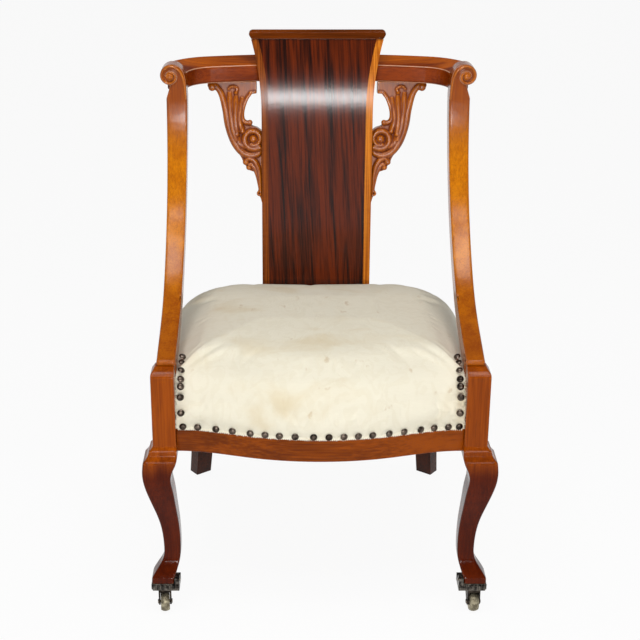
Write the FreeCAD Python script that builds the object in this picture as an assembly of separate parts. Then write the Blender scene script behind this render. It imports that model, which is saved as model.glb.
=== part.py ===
import FreeCAD, Part
import math
import os

V = FreeCAD.Vector
X_AXIS = V(1, 0, 0)
Y_AXIS = V(0, 1, 0)
Z_AXIS = V(0, 0, 1)

# All lengths are millimetres. X runs to the viewer's right, Y from the front to the back, Z up.
# While the pieces are made, Y is 0 on the front faces of the corner blocks and Z is 0 on the floor.

# Seat frame
width_over_blocks = 546.0
seat_side_set_in = 11.0
seat_back = 446.0
seat_corner_radius = 100.0
rail_bottom = 297.0
rail_height = 63.0
rail_thickness = 28.0
front_rail_set_back = 11.0
front_rail_bow = 37.0
front_rail_back_face = 35.0
rail_tenon = 22.0
corner_brace_leg = 56.0
corner_brace_margin = 5.0

# Front legs and corner blocks
block_width = 38.0
block_rise = 14.0
block_height = 123.0
shoulder_rise = 12.0
shoulder_depth = 20.0
arris = 3.0
knee_reach = 17.5
ankle_hollow = 11.0
toe_reach = 9.5
foot_bottom = 57.0
foot_pad_height = 10.0
collar_height = 23.0
collar_ledge = 6.0
collar_ear = 1.5

# Swept arm uprights
upright_width = 30.0
upright_spread = 6.0
upright_inset = 9.0
upright_depth_foot = 40.0
upright_depth_head = 34.0
upright_sweep = 338.0
upright_rise = 350.0
volute_radius = 20.5
volute_shrink = 0.84
volute_rise = 39.0
volute_inset = 7.7
volute_margin = 0.8
volute_band = 3.8
volute_relief = 2.5
volute_eye = 6.0

# Bowed top rail
top_rail_depth = 44.0
top_rail_bottom = 814.0
top_rail_front_height = 30.0
top_rail_back_height = 42.0
top_rail_edge = 4.0
top_rail_half_span = 252.0
top_rail_corner_radius = 75.0
top_rail_bow_radius = 800.0
top_rail_middle = 75.0

# Back splat
splat_half_width = 100.3
splat_thickness = 18.0
splat_foot_y = 419.5
splat_lean_deg = 2.0
splat_straight_top = 720.0
splat_roll_radius = 600.0
splat_top = 889.5
splat_flare_start = 760.0
splat_flare_radius = 470.0
splat_tenon = 20.0
veneer_thickness = 1.2
banding_width = 12.5
crest_half_width = 122.5
crest_height = 18.0
crest_roll_radius = 9.0
crest_nose = 3.0

# Carved brackets between splat and top rail
bracket_thickness = 24.0
bracket_reach = 97.0
bracket_lean_deg = 7.5
bracket_front_y = 461.5
bracket_drop = 222.0
bracket_volute_radius = 21.5
bracket_volute_drop = 104.0
bracket_volute_out = 15.5
bracket_relief = 3.0

# Rear legs, set cornerwise
rear_leg_turn_deg = 37.0
rear_leg_top_deep = 30.0
rear_leg_top_wide = 38.0
rear_leg_foot_deep = 26.0
rear_leg_foot_wide = 34.0
rear_foot_x = 232.0
rear_foot_y = 506.0

# Upholstery
cover_thickness = 2.0
soft_gap = 0.3
cover_hem = 333.0
seat_crown = 463.0
strap_width = 50.0
strap_thickness = 1.6
strap_margin = 6.0
strap_pitch_x = 80.0
strap_pitch_y = 70.0
strap_middle_y = 215.0
strap_count = 5
spring_wire = 3.6
spring_end_radius = 37.0
spring_waist_radius = 23.0
spring_turns = 5
hessian_margin = 14.0
hessian_thickness = 1.5
hessian_crown = 398.0
nail_radius = 5.9
nail_dome = 3.4
nail_shank_radius = 1.0
nail_shank = 9.0
nail_line = 343.0
nail_pitch = 25.0
front_nail_places = (-223.5, -199, -169, -142, -113, -89, -66, -41, -11.5, 13, 37, 60, 83, 110, 134.5,
                     162, 184.5, 208, 226)

# Dowels
dowel_radius = 4.0
dowel_reach = 24.0
side_dowel_shares = (0.33, 0.79)
leg_dowel_shares = (0.27, 0.73)

# Castors
socket_height = 13.0
socket_lug = 8.0
socket_lug_deep = 16.0
socket_rib_radius = 2.4
socket_ribs = 7
castor_inset = 1.0
castor_trail = 8.0
castor_wheel_radius = 17.0
castor_wheel_width = 15.0
castor_axle_radius = 2.5
castor_pin_radius = 4.0
castor_pin_length = 9.0
running_clearance = 0.05
castor_side_gap = 0.4
fork_thickness = 3.0
fork_crown_radius = 12.0
castor_turn_left_deg = 6.0
castor_turn_right_deg = 4.0
screw_head_radius = 2.6
screw_head_height = 1.2
screw_length = 24.0

# Sizes that follow from the ones above
block_outer = width_over_blocks / 2
block_inner = block_outer - block_width
seat_half_width = block_outer - seat_side_set_in
block_bottom = rail_bottom + block_rise
block_front_top = block_bottom + block_height
block_top = block_front_top + shoulder_rise
rail_top = rail_bottom + rail_height
upright_outer = block_outer - upright_inset
upright_inner = upright_outer - upright_width
socket_bottom = foot_bottom - socket_height
foot_width = block_width - 1
strap_lift = (strap_thickness + 0.5) / 2
strap_flat = strap_width / 2 + 4


def wire_of(points):
    """Closed wire of straight edges."""
    return Part.makePolygon(list(points) + [points[0]])


def prism(points, direction):
    """Solid swept straight from a closed outline of straight edges."""
    return Part.Face(wire_of(points)).extrude(direction)


def box(x0, x1, y0, y1, z0, z1):
    return Part.makeBox(x1 - x0, y1 - y0, z1 - z0, V(x0, y0, z0))


def rod(start, direction, radius, length):
    return Part.makeCylinder(radius, length, start, direction)


def curve(points):
    """Smooth curve through a few points."""
    line = Part.BSplineCurve()
    line.interpolate(points)
    return line


def arc(start, middle, end):
    return Part.Arc(start, middle, end).toShape()


def line(start, end):
    return Part.makeLine(start, end)


def mirrored(shape):
    """The viewer's left copy of a piece made on the right."""
    return shape.mirror(V(0, 0, 0), X_AXIS)


def joined(shapes):
    first, rest = shapes[0], shapes[1:]
    return first.multiFuse(rest).removeSplitter()


def loft(wires):
    return Part.makeLoft(wires, True, False)


def dome_arc(radius, height):
    """Rim, middle and crown of a ball-shaped cap, as distances from its axis and above its rim."""
    ball = (radius ** 2 + height ** 2) / (2 * height)
    half = math.asin(radius / ball) / 2
    return (radius, 0.0), (ball * math.sin(half), height - ball + ball * math.cos(half)), (0.0, height)


def turned(edges, axis):
    """Solid of revolution about an axis through the origin."""
    shape = Part.Face(Part.Wire(edges)).revolve(V(0, 0, 0), axis, 360)
    if shape.Volume < 0:
        shape.reverse()
    return shape


def rounded_rectangle(x0, x1, y0, y1, z, radius):
    """Closed level outline with four rounded corners."""
    h = radius * (1 - math.sqrt(0.5))
    edges = [
        line(V(x0 + radius, y0, z), V(x1 - radius, y0, z)),
        arc(V(x1 - radius, y0, z), V(x1 - h, y0 + h, z), V(x1, y0 + radius, z)),
        line(V(x1, y0 + radius, z), V(x1, y1 - radius, z)),
        arc(V(x1, y1 - radius, z), V(x1 - h, y1 - h, z), V(x1 - radius, y1, z)),
        line(V(x1 - radius, y1, z), V(x0 + radius, y1, z)),
        arc(V(x0 + radius, y1, z), V(x0 + h, y1 - h, z), V(x0, y1 - radius, z)),
        line(V(x0, y1 - radius, z), V(x0, y0 + radius, z)),
        arc(V(x0, y0 + radius, z), V(x0 + h, y0 + h, z), V(x0 + radius, y0, z)),
    ]
    return Part.Wire(edges)


# Front leg: one cabriole template is used from the front and from the side, so the knee and the toe
# reach out over the corner. Each station is a share of a height, then how far the outer and the inner
# edge stand outside the block's outer face.
def leg_sections(stations, low, high):
    wires = []
    for share, outer_edge, inner_edge in stations:
        wires.append(rounded_rectangle(
            block_outer + inner_edge, block_outer + outer_edge, -outer_edge, min(-inner_edge, block_width),
            low + share * (high - low), arris))
    return wires


def front_leg():
    inner = block_width + collar_ear
    heel = toe_reach - foot_width
    pad_top = foot_bottom + foot_pad_height
    knee_line = block_bottom - collar_height
    ledge_line = block_bottom - collar_ledge
    pad = loft(leg_sections([(0, toe_reach, heel), (1, toe_reach, heel)], foot_bottom, pad_top))
    shaft = loft(leg_sections([
        (0.000, 0.97 * toe_reach, heel - 1),
        (0.020, 0.68 * toe_reach, heel - 3),
        (0.064, -0.05 * toe_reach, -0.86 * inner),
        (0.121, -0.75 * ankle_hollow, -0.95 * inner),
        (0.231, -ankle_hollow, -inner),
        (0.443, -0.55 * ankle_hollow, -0.96 * inner),
        (0.604, 0.18 * knee_reach, -0.88 * inner),
        (0.765, 0.74 * knee_reach, -0.79 * inner),
        (0.863, 0.97 * knee_reach, -0.73 * inner),
        (0.935, knee_reach, -0.82 * inner),
        (1.000, 0.92 * knee_reach, -0.97 * inner),
    ], pad_top, knee_line))
    # hollow collar worked round the top of the knee, and a small sloping ledge under the block
    collar = loft(leg_sections([
        (0.00, 0.92 * knee_reach, -0.97 * inner),
        (0.35, 0.60 * knee_reach, -inner),
        (0.70, 0.43 * knee_reach, -inner),
        (1.00, 0.38 * knee_reach, -inner),
    ], knee_line, ledge_line))
    ledge = Part.makeLoft(leg_sections([
        (0, 0.28 * knee_reach, -inner),
        (1, 0.03 * knee_reach, -block_width),
    ], ledge_line, block_bottom), True, True)
    rise = Part.Wire([
        line(V(block_inner, block_width, block_bottom), V(block_inner, 0, block_bottom)),
        line(V(block_inner, 0, block_bottom), V(block_inner, 0, block_front_top)),
        arc(V(block_inner, 0, block_front_top),
            V(block_inner, 0.38 * shoulder_depth, block_front_top + 0.60 * shoulder_rise),
            V(block_inner, shoulder_depth, block_top)),
        line(V(block_inner, shoulder_depth, block_top), V(block_inner, block_width, block_top)),
        line(V(block_inner, block_width, block_top), V(block_inner, block_width, block_bottom)),
    ])
    block = Part.Face(rise).extrude(V(block_width, 0, 0))
    uprights = [e for e in block.Edges
                if abs(e.BoundBox.YMax) < 0.01 and e.BoundBox.ZLength > block_height / 2]
    block = block.makeFillet(arris / 2, uprights)
    # the outer top edge is planed off towards the foot of the upright
    slope = prism([V(block_outer + 1, -1, block_front_top + 2), V(block_outer + 1, -1, block_top + 1),
                   V(block_outer - 0.8 * upright_inset, -1, block_top + 1)], V(0, block_width + 2, 0))
    return joined([block.cut(slope), ledge, collar, shaft, pad])


# Arm upright: sawn from a plank, so its curve lies in one upright plane. It is notched over the back of
# the corner block, leaves it almost level and sweeps round until it stands upright under the volute.
def sweep_line():
    start_z = block_top + 9
    shares = [(0.0, 0.0), (0.16, 0.045), (0.42, 0.135), (0.655, 0.305), (0.845, 0.53),
              (0.96, 0.785), (1.0, 1.0)]
    return [V(0, shoulder_depth + a * upright_sweep, start_z + b * upright_rise) for a, b in shares]


def offset_line(points, depth_at):
    """Points set square to a curve by a depth that changes along it."""
    track = curve(points)
    out = []
    for point in points:
        share = (point.z - points[0].z) / (points[-1].z - points[0].z)
        t = track.parameter(point)
        tangent = track.tangent(t)[0]
        out.append(point + V(0, tangent.z, -tangent.y) * depth_at(share))
    return out


def upright_stem(grow):
    front = sweep_line()
    back = offset_line(front, lambda s: upright_depth_foot + (upright_depth_head - upright_depth_foot)
                       * min(1.0, 2 * s) + grow)
    head = front[-1]
    back[-1] = V(0, head.y + upright_depth_head + grow, head.z)
    back = [p for p in back if p.y > block_width + 12]
    heel = V(0, block_width, front[0].z - upright_depth_foot + 3 - grow)
    back = [heel] + back
    foot = V(0, shoulder_depth, block_top)
    notch = V(0, block_width, block_top)
    edges = [
        line(foot, front[0]),
        curve(front).toShape(),
        line(head, back[-1]),
        curve(list(reversed(back))).toShape(),
        line(heel, notch),
        line(notch, foot),
    ]
    face = Part.Face(Part.Wire(edges))
    stem = face.extrude(V(upright_width + upright_spread + 2 * grow, 0, 0))
    stem.translate(V(upright_inner - upright_spread - grow, 0, 0))
    # the inner side is planed so that the upright widens from the block to the volute
    near = upright_inner - grow
    far = near - upright_spread
    taper = prism([V(far - 1, 0, foot.z - 60), V(near, 0, foot.z - 60), V(near, 0, foot.z),
                   V(far, 0, head.z), V(far - 1, 0, head.z)], V(0, 2 * seat_back, 0))
    return stem.cut(taper)


def volute_centre():
    head = sweep_line()[-1]
    return V(upright_outer - volute_inset, head.y, head.z + volute_rise)


def volute_point(quarters, inset):
    """Point on the spiral that starts on top of the volute and turns over the outside."""
    angle = math.pi / 2 * (1 - quarters)
    radius = volute_radius * volute_shrink ** quarters - inset
    return volute_centre() + V(math.cos(angle), 0, math.sin(angle)) * radius


def volute_spiral(inset, quarters):
    """Points along the spiral, three to a quarter turn, its band narrowing towards the eye."""
    steps = 3 * quarters
    return [volute_point(i / 3, inset * (1 - 0.5 * i / steps)) for i in range(steps + 1)]


def arm_upright():
    head = sweep_line()[-1]
    centre = volute_centre()
    rim = volute_spiral(0, 2)
    top = rim[0]
    low = rim[-1]
    foot_in = V(upright_inner - upright_spread, head.y, head.z)
    foot_out = V(upright_outer, head.y, head.z)
    shoulder = curve([foot_in,
                      V(foot_in.x + 1, head.y, head.z + 0.55 * volute_rise),
                      V(foot_in.x + 10, head.y, centre.z + 0.70 * volute_radius),
                      top])
    outline = Part.Wire([
        shoulder.toShape(),
        curve(rim).toShape(),
        line(low, foot_out),
        line(foot_out, foot_in),
    ])
    block = Part.Face(outline).extrude(V(0, upright_depth_head, 0))
    outer = volute_spiral(volute_margin, 5)
    inner = volute_spiral(volute_margin + volute_band, 5)
    band = Part.Face(Part.Wire([
        curve(outer).toShape(),
        line(outer[-1], inner[-1]),
        curve(list(reversed(inner))).toShape(),
        line(inner[0], outer[0]),
    ])).extrude(V(0, -volute_relief, 0))
    edge, middle, crown = [V(a, -volute_relief - b, 0) for a, b in dome_arc(volute_eye, volute_relief)]
    eye = turned([
        line(V(0, 1, 0), V(volute_eye, 1, 0)),
        line(V(volute_eye, 1, 0), edge),
        arc(edge, middle, crown),
        line(crown, V(0, 1, 0)),
    ], Y_AXIS)
    eye.translate(centre)
    return joined([upright_stem(0), block, band, eye])


# Top rail: level bow in three pieces, a tight bend at each end and a long flat curve behind the splat.
# Its section is higher at the back than at the front.
def top_rail_half():
    start_y = volute_centre().y + upright_depth_head
    c1 = V(top_rail_half_span - top_rail_corner_radius, start_y, 0)
    reach = top_rail_bow_radius - top_rail_corner_radius
    c2 = V(0, c1.y - math.sqrt(reach ** 2 - c1.x ** 2), 0)
    bend = math.degrees(math.atan2(c1.y - c2.y, c1.x))

    def section(radius):
        half = top_rail_depth / 2
        z0 = top_rail_bottom
        e = top_rail_edge
        front = radius - half
        back = radius + half
        z_front = z0 + top_rail_front_height
        z_back = z0 + top_rail_back_height
        points = [V(front, 0, z0 + e / 2), V(front + e / 2, 0, z0), V(back - e, 0, z0),
                  V(back, 0, z0 + e), V(back, 0, z_back - e), V(back - e, 0, z_back),
                  V(front + e / 2, 0, z_front + e / 5), V(front, 0, z_front - e / 2)]
        return Part.Face(wire_of(points))

    tight = section(top_rail_corner_radius).revolve(V(0, 0, 0), Z_AXIS, bend)
    tight.translate(c1)
    long = section(top_rail_bow_radius).revolve(V(0, 0, 0), Z_AXIS, 90 - bend)
    long.rotate(V(0, 0, 0), Z_AXIS, bend)
    long.translate(c2)
    half_rail = joined([tight, long])
    # its flank is planed flush with the outer face of the upright
    return half_rail.cut(box(upright_outer, 2 * block_outer, 0, 2 * seat_back, 0, 2 * top_rail_bottom))


def top_rail_front_y(x):
    """Y of the rail's front face on its long curve."""
    start_y = volute_centre().y + upright_depth_head
    c1x = top_rail_half_span - top_rail_corner_radius
    reach = top_rail_bow_radius - top_rail_corner_radius
    centre_y = start_y - math.sqrt(reach ** 2 - c1x ** 2)
    radius = top_rail_bow_radius - top_rail_depth / 2
    return centre_y + math.sqrt(radius ** 2 - x ** 2)


# Back splat: a board sawn to a curve that stands almost upright and rolls backwards at the top, with
# sides that flare out towards the crest. Veneer and bandings lie on its face.
def splat_curve(depth):
    """Edge of the splat in side view, set back by a depth square to the face."""
    lean = math.radians(splat_lean_deg)
    top_lean = math.asin(math.sin(lean) + (splat_top - splat_straight_top) / splat_roll_radius)
    middle_lean = (lean + top_lean) / 2
    bend_y = splat_foot_y + (splat_straight_top - rail_top) * math.tan(lean)
    centre = V(0, bend_y + splat_roll_radius * math.cos(lean),
               splat_straight_top - splat_roll_radius * math.sin(lean))

    def on_roll(angle):
        radius = splat_roll_radius - depth
        return centre + V(0, -radius * math.cos(angle), radius * math.sin(angle))

    low = on_roll(lean)
    drop = low.z - (rail_top - splat_tenon)
    foot = low - V(0, drop * math.tan(lean), drop)
    return foot, low, on_roll(middle_lean), on_roll(top_lean)


def splat_slab(near, far):
    """Slab between two depths behind the face, wide enough for every outline."""
    f0, f1, f2, f3 = splat_curve(near)
    b0, b1, b2, b3 = splat_curve(far)
    face = Part.Face(Part.Wire([
        line(f0, f1), arc(f1, f2, f3), line(f3, b3), arc(b3, b2, b1), line(b1, b0), line(b0, f0)]))
    slab = face.extrude(V(4 * splat_half_width, 0, 0))
    slab.translate(V(-2 * splat_half_width, 0, 0))
    return slab


def splat_outline(inset, low):
    """Upright prism with the flared front outline, drawn in by an inset."""
    half = splat_half_width - inset
    centre_x = half + splat_flare_radius
    z1 = splat_top + 20

    def flare(z):
        return centre_x - math.sqrt(splat_flare_radius ** 2 - (z - splat_flare_start) ** 2)

    middle = (splat_flare_start + z1) / 2
    edges = [line(V(-half, 0, low), V(half, 0, low)),
             line(V(half, 0, low), V(half, 0, splat_flare_start)),
             arc(V(half, 0, splat_flare_start), V(flare(middle), 0, middle), V(flare(z1), 0, z1)),
             line(V(flare(z1), 0, z1), V(-flare(z1), 0, z1)),
             arc(V(-flare(z1), 0, z1), V(-flare(middle), 0, middle), V(-half, 0, splat_flare_start)),
             line(V(-half, 0, splat_flare_start), V(-half, 0, low))]
    return Part.Face(Part.Wire(edges)).extrude(V(0, seat_back + 200, 0))


def splat_core():
    body = splat_slab(veneer_thickness, splat_thickness).common(splat_outline(0, rail_top))
    tenon = splat_slab(veneer_thickness + 4, splat_thickness - 4)
    tenon = tenon.common(box(-splat_half_width * 0.7, splat_half_width * 0.7, 0, seat_back + 200,
                             rail_top - splat_tenon, rail_top + 1))
    return joined([body, tenon])


def splat_face():
    skin = splat_slab(0, veneer_thickness)
    veneer = skin.common(splat_outline(banding_width, rail_top))
    edging = skin.common(splat_outline(0, rail_top)).cut(splat_outline(banding_width, rail_top - 1))
    right = [s for s in edging.Solids if s.CenterOfMass.x > 0]
    return veneer, right[0]


def crest():
    """Moulding rolled over the top of the splat, its section drawn square to the splat's top end."""
    _, _, _, front = splat_curve(0)
    lean = math.asin(math.sin(math.radians(splat_lean_deg))
                     + (splat_top - splat_straight_top) / splat_roll_radius)
    up = V(0, math.sin(lean), math.cos(lean))
    back = V(0, math.cos(lean), -math.sin(lean))
    r = crest_roll_radius

    def at(a, b):
        return V(-crest_half_width, front.y, front.z) + back * a + up * b

    roll_y = splat_thickness + r * 0.6
    roll_z = crest_height - r
    edges = [
        line(at(splat_thickness, 0), at(-crest_nose, 0)),
        line(at(-crest_nose, 0), at(-crest_nose, 0.62 * crest_height)),
        arc(at(-crest_nose, 0.62 * crest_height), at(-0.1 * crest_nose, 0.90 * crest_height),
            at(2 * crest_nose, crest_height)),
        line(at(2 * crest_nose, crest_height), at(roll_y, roll_z + r)),
        arc(at(roll_y, roll_z + r), at(roll_y + r, roll_z), at(roll_y, roll_z - r)),
        arc(at(roll_y, roll_z - r), at(roll_y - 0.45 * r, roll_z - 0.82 * r), at(splat_thickness, 0)),
    ]
    return Part.Face(Part.Wire(edges)).extrude(V(2 * crest_half_width, 0, 0))


# Carved bracket: top plate with an ear and a lip under the rail, a stem that curls into a volute against
# the splat's edge, and an acanthus tail that tapers down the edge. Carved from one board, leaning back.
def bracket_at(out, down):
    """A point on the bracket's face: shares of its reach from the splat's edge and of its drop."""
    return V(splat_half_width + out * bracket_reach, 0, top_rail_bottom - down * bracket_drop)


def bracket():
    edges = [
        line(bracket_at(0.093, 0), bracket_at(1, 0)),
        arc(bracket_at(1, 0), bracket_at(0.95, 0.068), bracket_at(0.845, 0.056)),
        curve([bracket_at(0.845, 0.056), bracket_at(0.763, 0.09), bracket_at(0.696, 0.22),
               bracket_at(0.655, 0.38), bracket_at(0.546, 0.52), bracket_at(0.381, 0.635)]).toShape(),
        arc(bracket_at(0.381, 0.635), bracket_at(0.387, 0.68), bracket_at(0.278, 0.70)),
        arc(bracket_at(0.278, 0.70), bracket_at(0.258, 0.735), bracket_at(0.155, 0.74)),
        curve([bracket_at(0.155, 0.74), bracket_at(0.082, 0.79), bracket_at(0.052, 0.88),
               bracket_at(0.021, 1)]).toShape(),
        line(bracket_at(0.021, 1), bracket_at(-0.124, 1)),
        line(bracket_at(-0.124, 1), bracket_at(-0.124, 0.5)),
        curve([bracket_at(-0.124, 0.5), bracket_at(0.103, 0.385), bracket_at(0.227, 0.34),
               bracket_at(0.340, 0.31), bracket_at(0.361, 0.25), bracket_at(0.340, 0.19),
               bracket_at(0.278, 0.125), bracket_at(0.196, 0.088)]).toShape(),
        line(bracket_at(0.196, 0.088), bracket_at(0.093, 0.088)),
        line(bracket_at(0.093, 0.088), bracket_at(0.093, 0)),
    ]
    board = Part.Face(Part.Wire(edges)).extrude(V(0, bracket_thickness, 0))
    eye = V(splat_half_width + bracket_volute_out, 0, top_rail_bottom - bracket_volute_drop)
    whorl = Part.makeCylinder(bracket_volute_radius, bracket_thickness + bracket_relief,
                              eye - V(0, bracket_relief, 0), Y_AXIS)
    hollow = Part.makeCylinder(0.68 * bracket_volute_radius, bracket_relief,
                               eye - V(0, bracket_relief, 0), Y_AXIS)
    boss = Part.makeCylinder(0.38 * bracket_volute_radius, bracket_relief,
                             eye - V(0, bracket_relief, 0), Y_AXIS)
    carved = joined([board, whorl.cut(hollow), boss])
    pivot = V(0, 0, top_rail_bottom)
    carved.rotate(pivot, X_AXIS, -bracket_lean_deg)
    carved.translate(V(0, bracket_front_y, 0))
    carved = carved.cut(splat_outline(0, rail_top - 1))
    carved = carved.cut(box(0, block_outer, 0, 2 * seat_back, top_rail_bottom, 2 * top_rail_bottom))
    return max(carved.Solids, key=lambda s: s.Volume)


# Seat frame: side and back rails follow a rounded plan; the front rail is serpentine.
def seat_plan(inset, z):
    """Rounded plan of side and back rails, open towards the front, closed at the block backs."""
    w = seat_half_width - inset
    b = seat_back - inset
    r = seat_corner_radius - inset
    h = r * (1 - math.sqrt(0.5))
    f = block_width
    return Part.Wire([
        line(V(-w, f, z), V(w, f, z)),
        line(V(w, f, z), V(w, b - r, z)),
        arc(V(w, b - r, z), V(w - h, b - h, z), V(w - r, b, z)),
        line(V(w - r, b, z), V(r - w, b, z)),
        arc(V(r - w, b, z), V(h - w, b - h, z), V(-w, b - r, z)),
        line(V(-w, b - r, z), V(-w, f, z)),
    ])


def front_line(half, shift, bow, z):
    """Serpentine line across the front, flat near the corners and bowed forward in the middle."""
    shares = [(-1.0, 0.0), (-0.72, 0.07), (-0.42, 0.64), (0.0, 1.0), (0.42, 0.64), (0.72, 0.07), (1.0, 0.0)]
    return curve([V(half * a, front_rail_set_back + shift - bow * b, z) for a, b in shares])


def front_rail():
    z = rail_bottom
    w = seat_half_width
    face_line = front_line(w, soft_gap, front_rail_bow, z)
    left = V(-w, front_rail_set_back + soft_gap, z)
    right = V(w, front_rail_set_back + soft_gap, z)
    back_right = V(w, front_rail_back_face, z)
    back_left = V(-w, front_rail_back_face, z)
    wire = Part.Wire([face_line.toShape(), line(right, back_right), line(back_right, back_left),
                      line(back_left, left)])
    rail = Part.Face(wire).extrude(V(0, 0, rail_height))
    rail = rail.common(box(-block_inner, block_inner, -2 * front_rail_bow, front_rail_back_face,
                           rail_bottom, rail_top))
    tenon_y = (front_rail_set_back + front_rail_back_face) / 2
    low, high = [rail_bottom + share * rail_height for share in side_dowel_shares]
    tenon = box(-block_inner - rail_tenon, block_inner + rail_tenon, tenon_y - 6, tenon_y + 6,
                low + dowel_radius + 1, high - dowel_radius - 1)
    return joined([rail, tenon])


def rear_leg_top_centre():
    turn = math.radians(rear_leg_turn_deg)
    reach = seat_corner_radius - rail_thickness / 2
    return V(seat_half_width - seat_corner_radius + reach * math.sin(turn),
             seat_back - seat_corner_radius + reach * math.cos(turn), 0)


def turned_rectangle(centre, deep, wide, z):
    wire = rounded_rectangle(-wide / 2, wide / 2, -deep / 2, deep / 2, z, arris / 2)
    wire.rotate(V(0, 0, 0), Z_AXIS, -rear_leg_turn_deg)
    wire.translate(V(centre.x, centre.y, 0))
    return wire


def rear_leg():
    """Plain leg with its face turned towards the corner, curving out to the foot."""
    top = rear_leg_top_centre()
    foot = V(rear_foot_x, rear_foot_y, 0)
    wires = []
    for share in (0.0, 0.2, 0.45, 0.72, 1.0):
        bend = (1 - share) ** 1.7
        centre = top + (foot - top) * bend
        deep = rear_leg_foot_deep + (rear_leg_top_deep - rear_leg_foot_deep) * share
        wide = rear_leg_foot_wide + (rear_leg_top_wide - rear_leg_foot_wide) * share
        wires.append(turned_rectangle(centre, deep, wide, share * rail_bottom))
    lower = loft(wires)
    upper = Part.Face(turned_rectangle(top, rear_leg_top_deep, rear_leg_top_wide, rail_bottom))
    upper = upper.extrude(V(0, 0, rail_height))
    plan = Part.Face(seat_plan(0, rail_bottom)).extrude(V(0, 0, rail_height))
    return joined([lower, upper.common(plan)])


def seat_rails(legs):
    outer = Part.Face(seat_plan(0, rail_bottom)).extrude(V(0, 0, rail_height))
    inner = Part.Face(seat_plan(rail_thickness, rail_bottom)).extrude(V(0, 0, rail_height))
    band = outer.cut(inner)
    band = band.cut(box(-seat_half_width + rail_thickness, seat_half_width - rail_thickness,
                        0, seat_back - rail_thickness - 1, rail_bottom, rail_top))
    for leg in legs:
        band = band.cut(leg)
    pieces = [s for s in band.Solids if s.Volume > 1000]
    left = min(pieces, key=lambda s: s.CenterOfMass.x)
    right = max(pieces, key=lambda s: s.CenterOfMass.x)
    back = max(pieces, key=lambda s: s.CenterOfMass.y)
    return left, back, right


def corner_brace():
    z0 = rail_bottom + corner_brace_margin
    x = seat_half_width - rail_thickness
    y = front_rail_back_face
    corner = [V(x, y, z0), V(x - corner_brace_leg, y, z0), V(x, y + corner_brace_leg, z0)]
    return prism(corner, V(0, 0, rail_height - 2 * corner_brace_margin))


# Dowels in the joints that are not tenoned.
def dowels():
    r = dowel_radius
    reach = dowel_reach
    pegs = []
    head = sweep_line()[-1]
    mid_x = upright_inner + upright_width / 2
    pegs.append(rod(V(mid_x, block_width - reach, block_top - 3.2 * r), Y_AXIS, r, 2 * reach))
    for dx in (-8, 8):
        pegs.append(rod(V(mid_x + dx, head.y + upright_depth_head - reach + 4,
                          top_rail_bottom + top_rail_front_height / 2), Y_AXIS, r, reach + 16))
    joint_y = top_rail_front_y(top_rail_middle) + top_rail_depth / 2
    pegs.append(rod(V(top_rail_middle - reach, joint_y, top_rail_bottom + top_rail_front_height / 2),
                    X_AXIS, r, 2 * reach))
    leg = rear_leg_top_centre()
    turn = math.radians(rear_leg_turn_deg)
    along = V(math.cos(turn), -math.sin(turn), 0)
    side_x = seat_half_width - rail_thickness / 2
    for share in side_dowel_shares:
        start = V(side_x, block_width - reach, rail_bottom + share * rail_height)
        pegs.append(rod(start, Y_AXIS, r, 2 * reach))
    for share in leg_dowel_shares:
        start = V(leg.x, leg.y, rail_bottom + share * rail_height) - along * (reach + 8)
        pegs.append(rod(start, along, r, 2 * (reach + 8)))
    return pegs


# Upholstery. Each soft layer is a loft through level outlines, drawn in step by step towards the crown.
def soft_outline(inset, z):
    """Level outline of the seat's padding: serpentine front, straight sides, rounded back corners."""
    w = seat_half_width - inset
    b = seat_back - inset
    r = max(seat_corner_radius - 0.55 * inset, 25.0)
    h = r * (1 - math.sqrt(0.5))
    bow = front_rail_bow * max(0.0, 1 - max(inset, 0.0) / 170)
    f = front_rail_set_back + inset
    return Part.Wire([
        front_line(w, inset, bow, z).toShape(),
        line(V(w, f, z), V(w, b - r, z)),
        arc(V(w, b - r, z), V(w - h, b - h, z), V(w - r, b, z)),
        line(V(w - r, b, z), V(r - w, b, z)),
        arc(V(r - w, b, z), V(h - w, b - h, z), V(-w, b - r, z)),
        line(V(-w, b - r, z), V(-w, f, z)),
    ])


def soft_dome(skin, hem, crown):
    """Padding with upright sides, a rounded edge and a full crown; skin is how far inside the cover."""
    out = -(cover_thickness + soft_gap)
    rise = crown - rail_top
    steps = [(0.0, rail_top + 12 - crown + rise), (7.0, 0.44 * rise), (25.0, 0.68 * rise),
             (60.0, 0.85 * rise), (108.0, 0.945 * rise), (165.0, rise)]
    wires = [soft_outline(out + skin, hem)]
    for inset, z in steps:
        wires.append(soft_outline(out + skin + inset, rail_top + z - skin))
    return loft(wires)


def upholstery_cutters():
    """Room that cover and padding leave for the blocks, the arm uprights and the splat."""
    g = soft_gap
    block = box(block_inner - g, block_outer + 20, -60, block_width + g, 0, block_top + 60)
    arm = upright_stem(g)
    splat = box(-splat_half_width - g, splat_half_width + g, splat_foot_y - g - 1, seat_back + 60,
                rail_top - g, seat_crown + 60)
    return [block, mirrored(block), arm, mirrored(arm), splat]


def biggest(shape):
    return max(shape.Solids, key=lambda s: s.Volume)


def seat_cover():
    cover = soft_dome(0, cover_hem, seat_crown)
    cover = cover.cut(soft_dome(cover_thickness, cover_hem - 1, seat_crown))
    for cutter in upholstery_cutters():
        cover = cover.cut(cutter)
    return biggest(cover)


def hessian_dome(raise_by):
    z0 = rail_top + soft_gap + raise_by
    rise = hessian_crown - rail_top
    wires = []
    for inset, share in ((hessian_margin, 0.0), (50.0, 0.55), (100.0, 0.92), (150.0, 1.0)):
        wires.append(soft_outline(inset, z0 + share * rise))
    return loft(wires)


def hessian():
    sheet = hessian_dome(hessian_thickness).cut(hessian_dome(0))
    for cutter in upholstery_cutters():
        sheet = sheet.cut(cutter)
    return biggest(sheet)


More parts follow.
